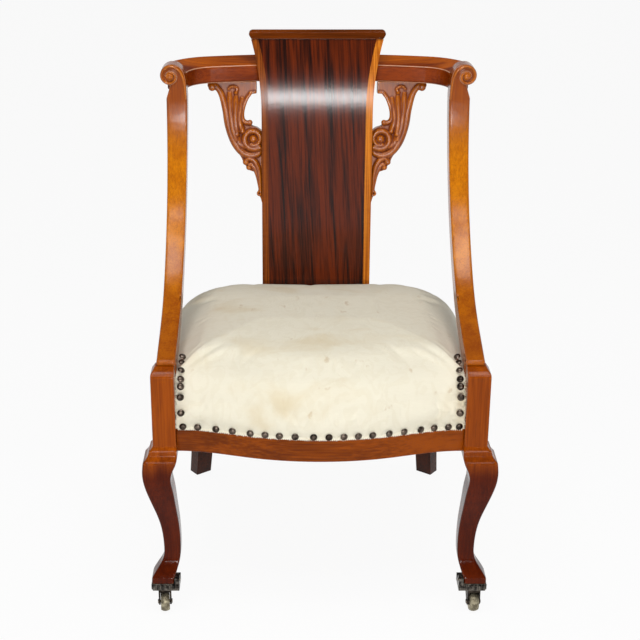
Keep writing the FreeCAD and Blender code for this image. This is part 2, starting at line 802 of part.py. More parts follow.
def stuffing():
    pad = soft_dome(cover_thickness + soft_gap, cover_hem, seat_crown)
    pad = pad.cut(box(-400, 400, -200, 800, 0, rail_top + soft_gap))
    foot = Part.Face(soft_outline(hessian_margin, rail_top))
    pad = pad.cut(foot.extrude(V(0, 0, hessian_thickness + 3 * soft_gap)))
    pad = pad.cut(hessian_dome(hessian_thickness + soft_gap))
    for cutter in upholstery_cutters():
        pad = pad.cut(cutter)
    return biggest(pad)


def strap_profile(start, end, rail_width, crossings, over_first):
    """Side outline of one webbing strap, flat under both rails, over and under the straps across it."""
    z0 = rail_bottom - strap_thickness
    low = [(start, z0), (start + rail_width, z0)]
    sign = 1 if over_first else -1
    for place in crossings:
        low.append((place - strap_flat, z0 + sign * strap_lift))
        low.append((place + strap_flat, z0 + sign * strap_lift))
        sign = -sign
    low += [(end - rail_width, z0), (end, z0)]
    high = [(s, z + strap_thickness) for s, z in reversed(low)]
    return low + high


def webbing():
    offsets = [i - (strap_count - 1) / 2 for i in range(strap_count)]
    across = [strap_pitch_x * k for k in offsets]
    along = [strap_middle_y + strap_pitch_y * k for k in offsets]
    straps = []
    for i, x in enumerate(across):
        side = strap_profile(front_rail_set_back + strap_margin, seat_back - strap_margin, rail_thickness,
                             along, i % 2 == 0)
        points = [V(x - strap_width / 2, s, z) for s, z in side]
        straps.append(prism(points, V(strap_width, 0, 0)))
    reach = seat_half_width - strap_margin
    for j, y in enumerate(along):
        side = strap_profile(-reach, reach, rail_thickness, across, j % 2 == 1)
        points = [V(s, y - strap_width / 2, z) for s, z in side]
        straps.append(prism(points, V(0, strap_width, 0)))
    return straps


def biarc(p0, t0, p1, t1):
    """Two arcs that leave p0 along t0 and reach p1 along t1."""
    v = p1 - p0
    t = t0 + t1
    a = 4 - t.dot(t)
    b = v.dot(t)
    d = (math.sqrt(b * b + a * v.dot(v)) - b) / a
    q0 = p0 + t0 * d
    q1 = p1 - t1 * d
    joint = (q0 + q1) * 0.5
    edges = []
    for start, knee, end in ((p0, q0, joint), (joint, q1, p1)):
        chord_middle = (start + end) * 0.5
        cosine = (end - start).Length / 2 / d
        edges.append(arc(start, chord_middle + (knee - chord_middle) * (cosine / (1 + cosine)), end))
    return edges


def spring(height):
    """Waisted coil spring standing on the origin, one unbroken wire."""
    quarter = math.pi / 2
    count = 4 * spring_turns
    flare = spring_end_radius - spring_waist_radius
    climb = (height - spring_wire) / (count * quarter)

    def place(angle):
        share = 2 * angle / (count * quarter) - 1
        r = spring_waist_radius + flare * share * share
        return V(r * math.cos(angle), r * math.sin(angle), spring_wire / 2 + climb * angle)

    def heading(angle):
        step = 1e-4
        return (place(angle + step) - place(angle - step)).normalize()

    edges = []
    for i in range(count):
        a0, a1 = i * quarter, (i + 1) * quarter
        edges += biarc(place(a0), heading(a0), place(a1), heading(a1))
    ring = Part.Wire(Part.makeCircle(spring_wire / 2, place(0), heading(0)))
    gap = min((place(i * quarter / 4) - place(k * quarter / 4)).Length
              for i in range(4 * count) for k in range(i + 8, 4 * count)) - spring_wire
    print("least gap between the turns of a spring: %.2f mm" % gap)
    return Part.Wire(edges).makePipeShell([ring], True, False)


def springs():
    """Five springs, each standing on the strap that climbs away under the start of its wire."""
    climb = (spring_end_radius - strap_flat) / (strap_pitch_x - 2 * strap_flat)
    base = rail_bottom - strap_lift + 2 * strap_lift * climb + 2 * soft_gap
    height = hessian_crown - base - 3
    one = spring(height)
    out = []
    for kx, ky in ((-1, -1), (1, -1), (0, 0), (-1, 1), (1, 1)):
        copy = one.copy()
        copy.translate(V(kx * strap_pitch_x, strap_middle_y + ky * strap_pitch_y, base))
        out.append(copy)
    return out


def nail(place, outward):
    """Domed nail driven in against the way it faces."""
    rim, middle, crown = [V(a, 0, b) for a, b in dome_arc(nail_radius, nail_dome)]
    one = turned([
        line(V(0, 0, -nail_shank), V(nail_shank_radius, 0, -nail_shank)),
        line(V(nail_shank_radius, 0, -nail_shank), V(nail_shank_radius, 0, 0)),
        line(V(nail_shank_radius, 0, 0), rim),
        arc(rim, middle, crown),
        line(crown, V(0, 0, -nail_shank)),
    ], Z_AXIS)
    one.Placement = FreeCAD.Placement(place, FreeCAD.Rotation(Z_AXIS, outward))
    return one


def nails():
    stand = cover_thickness + 2 * soft_gap
    face = front_line(seat_half_width, 0, front_rail_bow, nail_line)
    heads = []
    for x in front_nail_places:
        t = face.intersectCC(Part.LineSegment(V(x, -200, nail_line), V(x, 200, nail_line)))[0]
        point = V(t.X, t.Y, t.Z)
        slope = face.tangent(face.parameter(point))[0]
        out = V(slope.y, -slope.x, 0).normalize()
        heads.append(nail(point + out * stand, out))
    # rows that climb beside each block and turn back along the foot of the arm
    f = front_rail_set_back
    climb = [(f - 3, 0.217, 0.0), (f - 3, 0.45, 0.0), (f + 7, 0.567, 0.3), (f + 15, 0.646, 0.6),
             (f + 29, 0.725, 0.9), (f + 46, 0.775, 1.0), (f + 64, 0.80, 1.0)]
    for y, share, tilt in climb:
        rise = share * (seat_crown - nail_line)
        out = V(-0.25 - 0.25 * tilt, -1 + 0.7 * tilt, 0.15 + 0.75 * tilt).normalize()
        one = nail(V(block_inner - nail_radius - 3, y, nail_line + rise) + out, out)
        heads += [one, mirrored(one)]
    side_start = block_width + 14
    side_end = seat_back - seat_corner_radius
    side_count = int((side_end - side_start) / nail_pitch) + 1
    for i in range(side_count):
        y = side_start + (side_end - side_start) * i / (side_count - 1)
        one = nail(V(seat_half_width + stand, y, nail_line), X_AXIS)
        heads += [one, mirrored(one)]
    corner_count = 6
    for i in range(1, corner_count + 1):
        angle = math.pi / 2 * i / (corner_count + 1)
        out = V(math.cos(angle), math.sin(angle), 0)
        centre = V(seat_half_width - seat_corner_radius, seat_back - seat_corner_radius, nail_line)
        one = nail(centre + out * (seat_corner_radius + stand), out)
        heads += [one, mirrored(one)]
    back_count = 7
    back_start = splat_half_width + 12
    for i in range(2):
        x = back_start + 40 * i
        one = nail(V(x, seat_back + stand, nail_line), Y_AXIS)
        heads += [one, mirrored(one)]
    for i in range(back_count):
        x = back_start * (2 * (i + 0.5) / back_count - 1)
        heads.append(nail(V(x, seat_back + stand, nail_line), Y_AXIS))
    return heads


# Castors, made around the swivel axis: X across, Y to the back, Z from the floor.
def castor_socket():
    half = foot_width / 2
    base = box(-half, half + socket_lug, -half, half, socket_bottom, foot_bottom)
    lug = box(half + soft_gap, half + socket_lug, -half, -half + socket_lug_deep, foot_bottom,
              foot_bottom + foot_pad_height)
    parts = [base, lug]
    pitch = (2 * half + socket_lug) / socket_ribs
    for i in range(socket_ribs):
        parts.append(rod(V(-half + pitch * (i + 0.5), -half, socket_bottom + 2), Z_AXIS, socket_rib_radius,
                         socket_height - 4))
        parts.append(rod(V(-half, -half + 2 * half * (i + 0.5) / socket_ribs, socket_bottom + 2), Z_AXIS,
                         socket_rib_radius, socket_height - 4))
    socket = joined(parts)
    bore = castor_pin_radius + running_clearance
    return socket.cut(rod(V(0, 0, socket_bottom), Z_AXIS, bore, castor_pin_length + 1))


def castor_fork():
    w = castor_wheel_width / 2 + castor_side_gap
    t = fork_thickness
    crown_low = 2 * castor_wheel_radius + 2.5
    crown_high = socket_bottom - soft_gap
    crown = rod(V(0, 0, crown_low), Z_AXIS, fork_crown_radius, crown_high - crown_low)
    pin = rod(V(0, 0, crown_high), Z_AXIS, castor_pin_radius, castor_pin_length)
    axle_y = -castor_trail
    axle_z = castor_wheel_radius
    cheek_edge = Part.Wire([
        line(V(w, -fork_crown_radius - 1, crown_high), V(w, fork_crown_radius, crown_high)),
        line(V(w, fork_crown_radius, crown_high), V(w, fork_crown_radius, crown_low)),
        line(V(w, fork_crown_radius, crown_low), V(w, axle_y + 6, axle_z)),
        arc(V(w, axle_y + 6, axle_z), V(w, axle_y, axle_z - 6), V(w, axle_y - 6, axle_z)),
        line(V(w, axle_y - 6, axle_z), V(w, -fork_crown_radius - 1, crown_high)),
    ])
    cheek = Part.Face(cheek_edge).extrude(V(t, 0, 0))
    bridge = box(-w - t, w + t, -fork_crown_radius - 1, fork_crown_radius, crown_low, crown_high)
    fork = joined([crown.fuse(bridge), cheek, mirrored(cheek), pin])
    hole = rod(V(-50, axle_y, axle_z), X_AXIS, castor_axle_radius, 100)
    return fork.cut(hole)


def castor_axle():
    w = castor_wheel_width / 2 + castor_side_gap + fork_thickness
    y = -castor_trail
    z = castor_wheel_radius
    shaft = rod(V(-w, y, z), X_AXIS, castor_axle_radius, 2 * w)
    heads = [rod(V(w, y, z), X_AXIS, castor_axle_radius + 1.2, 1.5),
             rod(V(-w - 1.5, y, z), X_AXIS, castor_axle_radius + 1.2, 1.5)]
    return joined([shaft] + heads)


def castor_wheel():
    half = castor_wheel_width / 2
    r = castor_wheel_radius
    bore = castor_axle_radius + running_clearance
    wheel = turned([
        line(V(-half, bore, 0), V(-half, 0.86 * r, 0)),
        arc(V(-half, 0.86 * r, 0), V(0, r, 0), V(half, 0.86 * r, 0)),
        line(V(half, 0.86 * r, 0), V(half, bore, 0)),
        line(V(half, bore, 0), V(-half, bore, 0)),
    ], X_AXIS)
    wheel.translate(V(0, -castor_trail, r))
    return wheel


def castor_screws():
    """One screw through the lug into the side of the foot and one up through the plate."""
    half = foot_width / 2
    corner = half - 1.5 * screw_head_radius
    side = V(half + socket_lug, -half + socket_lug_deep / 2, foot_bottom + foot_pad_height / 2)
    screws = []
    for place, inward in ((side, V(-1, 0, 0)), (V(corner, corner, socket_bottom), Z_AXIS)):
        head = rod(place - inward * screw_head_height, inward, screw_head_radius, screw_head_height)
        shank = rod(place, inward, screw_head_radius / 2, screw_length)
        screws.append(joined([head, shank]))
    return screws


def foot_centre():
    outer = block_outer + toe_reach
    return V(outer - foot_width / 2 - castor_inset, -toe_reach + foot_width / 2, 0)


def at_foot(shape, side, turn_deg):
    """Put a castor piece under a foot; the inner walls of the socket face the middle of the chair."""
    copy = shape.copy()
    copy.rotate(V(0, 0, 0), Z_AXIS, turn_deg)
    centre = foot_centre()
    copy.translate(V(side * centre.x, centre.y, 0))
    return copy


def socket_sides(shape):
    """Right and left copies of a piece drawn with its inner wall on +X."""
    right = at_foot(mirrored(shape), 1, 0)
    return right, mirrored(right)


nodes = {}

# Timber pieces before their joints are cut
leg_right = front_leg()
rear_right = rear_leg()
rear_left = mirrored(rear_right)
side_left, back_rail, side_right = seat_rails([rear_right, rear_left])
front = front_rail()
arm_right = arm_upright()
rail_half = top_rail_half()
core = splat_core()
rail_end_right = rail_half.cut(box(-1, top_rail_middle, 0, 2 * seat_back, 0, 2 * top_rail_bottom))
rail_middle_half = rail_half.common(box(0, top_rail_middle, 0, 2 * seat_back, 0, 2 * top_rail_bottom))
rail_middle = joined([rail_middle_half, mirrored(rail_middle_half)])
rail_middle = rail_middle.cut(core)
rail_end_right = rail_end_right.cut(core)

pegs = dowels()
for peg in pegs:
    leg_right = leg_right.cut(peg)
    rear_right = rear_right.cut(peg)
    side_right = side_right.cut(peg)
    arm_right = arm_right.cut(peg)
    rail_end_right = rail_end_right.cut(peg)
    for one in (peg, mirrored(peg)):
        back_rail = back_rail.cut(one)
        rail_middle = rail_middle.cut(one)
leg_right = leg_right.cut(front)
back_rail = back_rail.cut(core)

nodes["front_leg_right"] = [leg_right]
nodes["front_leg_left"] = [mirrored(leg_right)]
nodes["rear_leg_right"] = [rear_right]
nodes["rear_leg_left"] = [mirrored(rear_right)]
nodes["front_seat_rail"] = [front]
nodes["side_seat_rail_right"] = [side_right]
nodes["side_seat_rail_left"] = [mirrored(side_right)]
nodes["back_seat_rail"] = [back_rail]
nodes["corner_braces"] = [corner_brace(), mirrored(corner_brace())]
nodes["arm_upright_right"] = [arm_right]
nodes["arm_upright_left"] = [mirrored(arm_right)]
nodes["top_rail_right"] = [rail_end_right]
nodes["top_rail_left"] = [mirrored(rail_end_right)]
nodes["top_rail_middle"] = [rail_middle]
nodes["joint_dowels"] = pegs + [mirrored(p) for p in pegs]

veneer, band_right = splat_face()
nodes["splat_core"] = [core]
nodes["splat_veneer"] = [veneer]
nodes["splat_banding_right"] = [band_right]
nodes["splat_banding_left"] = [mirrored(band_right)]
nodes["crest_moulding"] = [crest()]
carved = bracket()
nodes["carved_bracket_right"] = [carved]
nodes["carved_bracket_left"] = [mirrored(carved)]

nodes["seat_webbing"] = webbing()
nodes["seat_springs"] = springs()
nodes["spring_hessian"] = [hessian()]
nodes["seat_stuffing"] = [stuffing()]
nodes["seat_cover"] = [seat_cover()]
nodes["upholstery_nails"] = nails()

socket_right, socket_left = socket_sides(castor_socket())
nodes["castor_socket_right"] = [socket_right]
nodes["castor_socket_left"] = [socket_left]
screws = []
for screw in castor_screws():
    screws += socket_sides(screw)
nodes["castor_screws"] = screws
for side, name, turn in ((1, "right", castor_turn_right_deg), (-1, "left", castor_turn_left_deg)):
    nodes["castor_fork_" + name] = [at_foot(castor_fork(), side, turn)]
    nodes["castor_axle_" + name] = [at_foot(castor_axle(), side, turn)]
    nodes["castor_wheel_" + name] = [at_foot(castor_wheel(), side, turn)]

# The finished chair is moved so that the origin lies on the floor under the middle of its outer box.
everything = Part.makeCompound([s for shapes in nodes.values() for s in shapes])
extent = everything.optimalBoundingBox(False, False)
shift = V(-(extent.XMin + extent.XMax) / 2, -(extent.YMin + extent.YMax) / 2, -extent.ZMin)
print("outer box %.2f x %.2f x %.2f mm, moved by %.3f, %.3f, %.3f"
      % (extent.XLength, extent.YLength, extent.ZLength, shift.x, shift.y, shift.z))

os.makedirs("parts", exist_ok=True)
for node, shapes in nodes.items():
    shape = shapes[0].copy() if len(shapes) == 1 else Part.makeCompound(shapes)
    shape.translate(shift)
    shape.exportStep("parts/%s.step" % node)
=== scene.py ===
import bmesh
import bpy
import math
import random
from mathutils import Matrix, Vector
from mathutils.bvhtree import BVHTree


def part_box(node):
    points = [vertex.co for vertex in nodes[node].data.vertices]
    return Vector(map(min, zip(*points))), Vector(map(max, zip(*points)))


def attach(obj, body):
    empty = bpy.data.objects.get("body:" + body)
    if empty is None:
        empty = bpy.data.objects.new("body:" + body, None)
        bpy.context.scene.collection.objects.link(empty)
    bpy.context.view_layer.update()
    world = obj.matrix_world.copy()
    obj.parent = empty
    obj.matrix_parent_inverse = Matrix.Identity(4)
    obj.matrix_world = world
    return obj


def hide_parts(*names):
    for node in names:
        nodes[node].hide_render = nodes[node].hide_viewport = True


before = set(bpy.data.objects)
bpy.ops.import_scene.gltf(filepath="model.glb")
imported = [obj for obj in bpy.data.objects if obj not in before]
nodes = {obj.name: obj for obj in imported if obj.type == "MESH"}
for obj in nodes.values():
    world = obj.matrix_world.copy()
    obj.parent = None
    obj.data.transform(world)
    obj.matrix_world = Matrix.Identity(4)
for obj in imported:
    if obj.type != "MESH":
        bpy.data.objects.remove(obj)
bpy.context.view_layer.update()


# Front legs with their corner blocks. Each is one piece of mahogany, sawn to a cabriole line from two
# faces, planed and french polished; the grain runs down the leg. Below the knee the wood is painted darker,
# painted shade, and its sanded-round arrises carry a painted pale highlight.
class Wire:
    """One socket of a finish. Sums, differences and products of wires add Math nodes."""

    def __init__(self, finish, socket):
        self.finish = finish
        self.socket = socket

    def maths(self, operation, first, second):
        return self.finish.node("Math", {"operation": operation}, {0: first, 1: second})

    def __add__(self, other):
        return self.maths("ADD", self, other)

    def __sub__(self, other):
        return self.maths("SUBTRACT", self, other)

    def __rsub__(self, other):
        return self.maths("SUBTRACT", other, self)

    def __mul__(self, other):
        return self.maths("MULTIPLY", self, other)

    __radd__ = __add__
    __rmul__ = __mul__


class Finish:
    """A surface finish: even values go straight on the shader, varied ones are wired to it."""

    def __init__(self, name, **even):
        self.material = bpy.data.materials.new(name)
        self.material.use_nodes = True
        self.tree = self.material.node_tree
        self.shader = self.tree.nodes["Principled BSDF"]
        self.give(**even)

    def join(self, value, socket):
        if isinstance(value, Wire):
            self.tree.links.new(value.socket, socket)
        else:
            socket.default_value = value

    def give(self, **values):
        for name, value in values.items():
            self.join(value, self.shader.inputs[name.replace("_", " ")])

    def node(self, kind, settings=None, sockets=None, out=0):
        made = self.tree.nodes.new("ShaderNode" + kind)
        for name, value in (settings or {}).items():
            setattr(made, name, value)
        for name, value in (sockets or {}).items():
            self.join(value, made.inputs[name])
        return Wire(self, made.outputs[out])

    def place(self):
        return self.node("TexCoord", out="Object")

    def height(self):
        return self.node("SeparateXYZ", None, {0: self.place()}, out="Z")

    def noise(self, stretch, detail=2.0, warp=0.0, place=None):
        place = place or self.place()
        stretched = self.node("VectorMath", {"operation": "MULTIPLY"}, {0: place, 1: stretch})
        sockets = {"Vector": stretched, "Scale": 1.0, "Detail": detail, "Distortion": warp}
        return self.node("TexNoise", None, sockets)

    def span(self, value, low, high):
        return self.node("MapRange", {"interpolation_type": "SMOOTHSTEP"}, {0: value, 1: low, 2: high})

    def blend(self, share, first, second, how="MIX"):
        settings = {"data_type": "RGBA", "blend_type": how}
        return self.node("Mix", settings, {0: share, 6: first, 7: second}, out=2)

    def rounded(self, radius):
        """Way that the surface faces once its arrises are rounded over."""
        return self.node("Bevel", {"samples": 6}, {"Radius": radius})

    def emboss(self, height, depth, strength=1.0, softened=0.0):
        """Relief of a surface; softened is how far the polish rounds over its arrises."""
        sockets = {"Height": height, "Distance": depth, "Strength": strength}
        if softened:
            sockets["Normal"] = self.rounded(softened)
        self.give(Normal=self.node("Bump", None, sockets))


def paint(red, green, blue):
    """Shader colour from the red, green and blue of a colour card, 0 to 255."""
    parts = []
    for value in (red, green, blue):
        share = value / 255
        parts.append(share / 12.92 if share <= 0.04045 else ((share + 0.055) / 1.055) ** 2.4)
    return (*parts, 1.0)


ALONG_X, ALONG_Y, ALONG_Z = range(3)
pore_brown = paint(46, 18, 6)
# Pale colour mixed onto arrises as a painted highlight, where the lamps would catch the polish.
painted_arris_highlight = paint(236, 186, 150)


def polished_wood(name, grain, pale, deep, painted_shading=(), polish=0.15, haze=0.1, softened=0.0, arris_highlight=0.0,
                  painted_ridge_light=False):
    """French polished mahogany, its grain along one axis.

    The tone changes along the piece are (from height, to height, tint): painted shade, a tint multiplied in
    where less light falls. Softened is how far the polish rounds over at sharp arrises in the shading; the
    arris reach is how far a painted pale highlight runs in from them, and the ridge flag paints the same
    highlight on arrises that are sanded round."""
    wood = Finish(name, Specular_IOR_Level=polish)

    def streaks(across, along, detail):
        stretch = [across] * 3
        stretch[grain] = along
        return wood.noise(stretch, detail, 0.3)

    figure = streaks(34.0, 2.6, 3.0)
    lines = streaks(330.0, 9.0, 2.0)
    pores = wood.span(streaks(950.0, 26.0, 1.0), 0.58, 0.72)
    tone = wood.span(figure * 0.6 + lines * 0.4, 0.34, 0.66)
    colour = wood.blend(tone, deep, pale)
    # Painted shade: bands of the piece's height are multiplied darker by a tint, for how the light falls on
    # it.
    for start, end, shade_tint in painted_shading:
        in_shade = wood.span(wood.height() + figure * 0.03, start, end)
        colour = wood.blend(in_shade, colour, wood.blend(1.0, colour, shade_tint, "MULTIPLY"))
    colour = wood.blend(pores * 0.35, colour, pore_brown)
    # Painted highlight: arrises, found where the rounded-over facing parts from the true face, are mixed
    # pale.
    if arris_highlight:
        facing = {0: wood.rounded(arris_highlight), 1: wood.node("NewGeometry", out="True Normal")}
        alike = wood.node("VectorMath", {"operation": "DOT_PRODUCT"}, facing, out="Value")
        colour = wood.blend(wood.span(1 - alike, 0.03, 0.2) * 0.5, colour, painted_arris_highlight)
    # Painted highlight: the rounded ridges of a sanded piece are mixed pale.
    if painted_ridge_light:
        ridge_highlight = wood.span(wood.node("NewGeometry", out="Pointiness"), 0.52, 0.60)
        colour = wood.blend(ridge_highlight * 0.5, colour, painted_arris_highlight)
    patina = wood.noise((22.0, 22.0, 22.0), 3.0)
    wood.give(Base_Color=colour, Roughness=haze + lines * 0.05 + patina * 0.05 + pores * 0.1)
    wood.emboss(pores * -0.6 + lines * 0.4, 0.0002, 0.2, softened)
    return wood.material


def dress(material, *names):
    """Give solids that are right as they are their finish."""
    for name in names:
        nodes[name].data.materials.clear()
        nodes[name].data.materials.append(material)


def new_piece(name, data, material, slot, *stands_for, smooth=True):
    """A piece of the chair in a finish, in place of the solids that it stands for; the slot is not used."""
    piece = bpy.data.objects.new(name, data)
    bpy.context.scene.collection.objects.link(piece)
    data.materials.clear()
    data.materials.append(material)
    if smooth:
        data.shade_smooth()
    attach(piece, "chair")
    if stands_for:
        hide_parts(*stands_for)
    return piece


def settled(obj):
    """The object's mesh with its modifiers worked out."""
    bpy.context.view_layer.update()
    return bpy.data.meshes.new_from_object(obj.evaluated_get(bpy.context.evaluated_depsgraph_get()))


def sanded(data, grit, passes):
    """A shape cut evenly at a grit size and rubbed over in passes, which round its arrises."""
    rough = bpy.data.objects.new("rough", data)
    bpy.context.scene.collection.objects.link(rough)
    cut = rough.modifiers.new("cut", "REMESH")
    cut.mode = "VOXEL"
    cut.voxel_size = grit
    if passes:
        rubbing = rough.modifiers.new("rubbing", "SMOOTH")
        rubbing.factor = 0.5
        rubbing.iterations = passes
    made = settled(rough)
    bpy.data.objects.remove(rough)
    return made


# Painted shade: the tone below the knee is multiplied darker. Painted highlight: the sanded-round arrises
# are mixed pale.
leg_wood = polished_wood("leg_mahogany", ALONG_Z, paint(162, 76, 5), paint(124, 52, 3),
                         painted_shading=[(0.325, 0.275, paint(146, 110, 90))], polish=0.12, haze=0.07, painted_ridge_light=True)
leg_grit = 0.0012
leg_passes = 5
for leg in ("front_leg_left", "front_leg_right"):
    leg_mesh = sanded(nodes[leg].data.copy(), leg_grit, leg_passes)
    new_piece(leg + "_polished", leg_mesh, leg_wood, "mahogany", leg)


# Arm uprights. Each is sawn from a thick mahogany plank, notched over the corner block and doweled to it;
# its polish stays golden along the middle and is painted darker low down and darker still at the head,
# painted shade for how the light falls on it, with a painted pale highlight along its arrises. At the head a
# carved bead climbs the inner edge, goes over the top and winds in to a round eye.
def mesh_data(mesh, name):
    """Finished mesh of a form, with its faces turned the same way."""
    bmesh.ops.recalc_face_normals(mesh, faces=mesh.faces)
    data = bpy.data.meshes.new(name)
    mesh.to_mesh(data)
    mesh.free()
    return data


weld = 1e-5
flat_angle = math.radians(0.5)
sharp_angle = math.radians(32)
smooth_angle = math.radians(38)
no_ceiling = 9.0


def eased(name, material, width, ceiling=no_ceiling, shortest=0.0016):
    """The piece with its arrises rubbed round below a ceiling, as sanding and polish leave them."""
    mesh = bmesh.new()
    mesh.from_mesh(nodes[name].data)
    bmesh.ops.remove_doubles(mesh, verts=mesh.verts, dist=weld)
    bmesh.ops.dissolve_limit(mesh, angle_limit=flat_angle, verts=mesh.verts, edges=mesh.edges)
    arrises = []
    for edge in mesh.edges:
        if len(edge.link_faces) == 2 and edge.calc_face_angle() > sharp_angle and edge.is_convex:
            if edge.calc_length() > shortest and max(v.co.z for v in edge.verts) < ceiling:
                arrises.append(edge)
    bmesh.ops.bevel(mesh, geom=arrises, offset=width, segments=3, profile=0.5, affect="EDGES",
                    clamp_overlap=False)
    low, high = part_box(name)
    for vertex in mesh.verts:
        vertex.co = [max(a, min(b, c)) for a, b, c in zip(low, high, vertex.co)]
    piece = new_piece(name + "_polished", mesh_data(mesh, name), material, "mahogany", name)
    piece.data.set_sharp_from_angle(angle=smooth_angle)
    flat = piece.modifiers.new("flat_faces", "WEIGHTED_NORMAL")
    flat.keep_sharp = True
    return piece


# Painted shade: darker below the sweep and at the head. Painted highlight: pale on the arrises.
upright_wood = polished_wood(
    "upright_mahogany", ALONG_Z, paint(206, 122, 4), paint(172, 91, 3),
    painted_shading=[(0.60, 0.48, paint(218, 196, 190)), (0.71, 0.82, paint(190, 158, 230))],
    polish=0.24, haze=0.12, softened=0.006, arris_highlight=0.003)
volute_radius = 0.0205
volute_shrink = 0.84
volute_drop = 0.039
upright_easing = 0.0028
upright_low, upright_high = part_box("arm_upright_right")
volute_x = upright_high.x - volute_radius * volute_shrink
volute_z = upright_high.z - volute_radius
upright_top = volute_z - volute_drop
for upright in ("arm_upright_left", "arm_upright_right"):
    eased(upright, upright_wood, upright_easing, ceiling=upright_top)


def smooth_path(points, steps):
    """Even curve through control points, each with any number of values."""
    ends = [points[0]] + list(points) + [points[-1]]
    path = []
    for i in range(1, len(ends) - 2):
        for k in range(steps):
            t = k / steps
            row = []
            for a, b, c, d in zip(*ends[i - 1:i + 3]):
                row.append(0.5 * (2 * b + (c - a) * t + (2 * a - 5 * b + 4 * c - d) * t * t
                                  + (3 * b - a - 3 * c + d) * t ** 3))
            path.append(row)
    path.append(list(points[-1]))
    return path


def add_skin(mesh, rows, closed=True):
    """Four-sided faces between rows of points, each row a closed ring or an open line."""
    made = [[mesh.verts.new(point) for point in row] for row in rows]
    for first, second in zip(made, made[1:]):
        for i in range(len(first) if closed else len(first) - 1):
            j = (i + 1) % len(first)
            mesh.faces.new((first[i], first[j], second[j], second[i]))
    return made


def add_tube(mesh, rings):
    """Closed tube through rings of points, with its two ends capped."""
    made = add_skin(mesh, rings)
    mesh.faces.new(list(reversed(made[0])))
    mesh.faces.new(made[-1])


def add_strand(mesh, points, put, around=10, steps=6):
    """Carved strand, half proud of a face: points are (across, down, half width, lift), in millimetres."""
    path = smooth_path(points, steps)
    rings = []
    for i, (across, down, half, lift) in enumerate(path):
        before = path[max(i - 1, 0)]
        after = path[min(i + 1, len(path) - 1)]
        along = Vector((after[0] - before[0], after[1] - before[1])).normalized()
        ring = []
        for k in range(around):
            angle = 2 * math.pi * k / around
            side = half * math.cos(angle)
            ring.append(put(across - along.y * side, down + along.x * side, lift * math.sin(angle)))
        rings.append(ring)
    add_tube(mesh, rings)


def add_boss(mesh, across, down, radius, lift, put, levels=8, around=14):
    """Rounded boss or leaf lobe on a face."""
    rings = []
    for k in range(1, levels):
        angle = math.pi * k / levels
        reach = radius * math.sin(angle)
        ring = []
        for i in range(around):
            turn = 2 * math.pi * i / around
            ring.append(put(across + reach * math.cos(turn), down + reach * math.sin(turn),
                            -lift * math.cos(angle)))
        rings.append(ring)
    add_tube(mesh, rings)


mm = 0.001
neck_slice = 0.003
neck_inner = 0.02
upright_points = [v.co for v in nodes["arm_upright_right"].data.vertices]
volute_front = min(point.y for point in upright_points
                   if abs(point.z - upright_top) < neck_slice and point.x < upright_low.x + neck_inner)


def on_volute(across, up, lift):
    """Place on the right volute from its eye, in millimetres."""
    return Vector((volute_x + across * mm, volute_front - lift * mm, volute_z + up * mm))


def volute_bead():
    """Bead that climbs the inner edge of the neck and winds in to the eye, with the eye's boss."""
    inset = 2.6
    inner_edge = (upright_low.x - volute_x) / mm + inset
    bead = [(inner_edge, -41, 1.0, 0.8), (inner_edge + 0.4, -26, 2.0, 2.6),
            (inner_edge + 2.6, -6, 2.4, 3.6), (-17.5, 8.5, 2.5, 4.0)]
    quarters = 5.6
    count = 22
    for i in range(count + 1):
        turn = quarters * i / count
        angle = math.pi / 2 * (1.25 - turn)
        radius = (volute_radius / mm * volute_shrink ** max(turn - 0.25, 0) - inset) * (1 - 0.02 * turn)
        bead.append((radius * math.cos(angle), radius * math.sin(angle), 2.5 - 0.12 * turn, 4.2))
    mesh = bmesh.new()
    add_strand(mesh, bead, on_volute, around=12, steps=5)
    add_boss(mesh, 0, 0, 6.4, 7.0, on_volute)
    return mesh_data(mesh, "volute_bead")


def mirrored(data):
    """The left-hand twin of a right-hand piece."""
    twin = data.copy()
    for vertex in twin.vertices:
        vertex.co.x = -vertex.co.x
    twin.flip_normals()
    return twin


def carved_finish():
    """Polish that is glossier on the high leaves, with painted shade darkening the rest, most in the
    hollows.
    """
    wood = Finish("carved_mahogany", Specular_IOR_Level=0.42)
    grain = wood.noise((260.0, 260.0, 16.0), 3.0, 0.3)
    painted_ridge_light = wood.span(wood.node("NewGeometry", out="Pointiness"), 0.475, 0.53)
    colour = wood.blend(wood.span(grain, 0.3, 0.7), paint(152, 74, 8), paint(188, 104, 16))
    # Painted shade: everything but the ridges is multiplied darker, most in the hollows.
    colour = wood.blend(painted_ridge_light, wood.blend(1.0, colour, paint(168, 136, 118), "MULTIPLY"), colour)
    wood.give(Base_Color=colour, Roughness=0.54 - painted_ridge_light * 0.42 + grain * 0.06)
    wood.emboss(grain, 0.0002, 0.4)
    return wood.material


carved_wood = carved_finish()
bead_mesh = volute_bead()
for side, bead in (("right", bead_mesh), ("left", mirrored(bead_mesh))):
    new_piece("volute_bead_" + side, bead, carved_wood, "mahogany")


# Bowed top rail in three lengths of mahogany, doweled end to end behind the splat and into the uprights.
# Its top slopes down to the front; below the top the wood is painted darker, painted shade on the front
# face, and the arrises are rubbed round, with a painted pale highlight on them.
# Painted shade: everything below the rail's top is multiplied darker. Painted highlight: pale on the
# arrises.
rail_wood = polished_wood("rail_mahogany", ALONG_X, paint(186, 90, 3), paint(140, 60, 2),
                          painted_shading=[(0.868, 0.858, paint(192, 166, 255))], haze=0.12, arris_highlight=0.004)
top_rail_easing = 0.0026
for rail in ("top_rail_left", "top_rail_middle", "top_rail_right"):
    eased(rail, rail_wood, top_rail_easing)


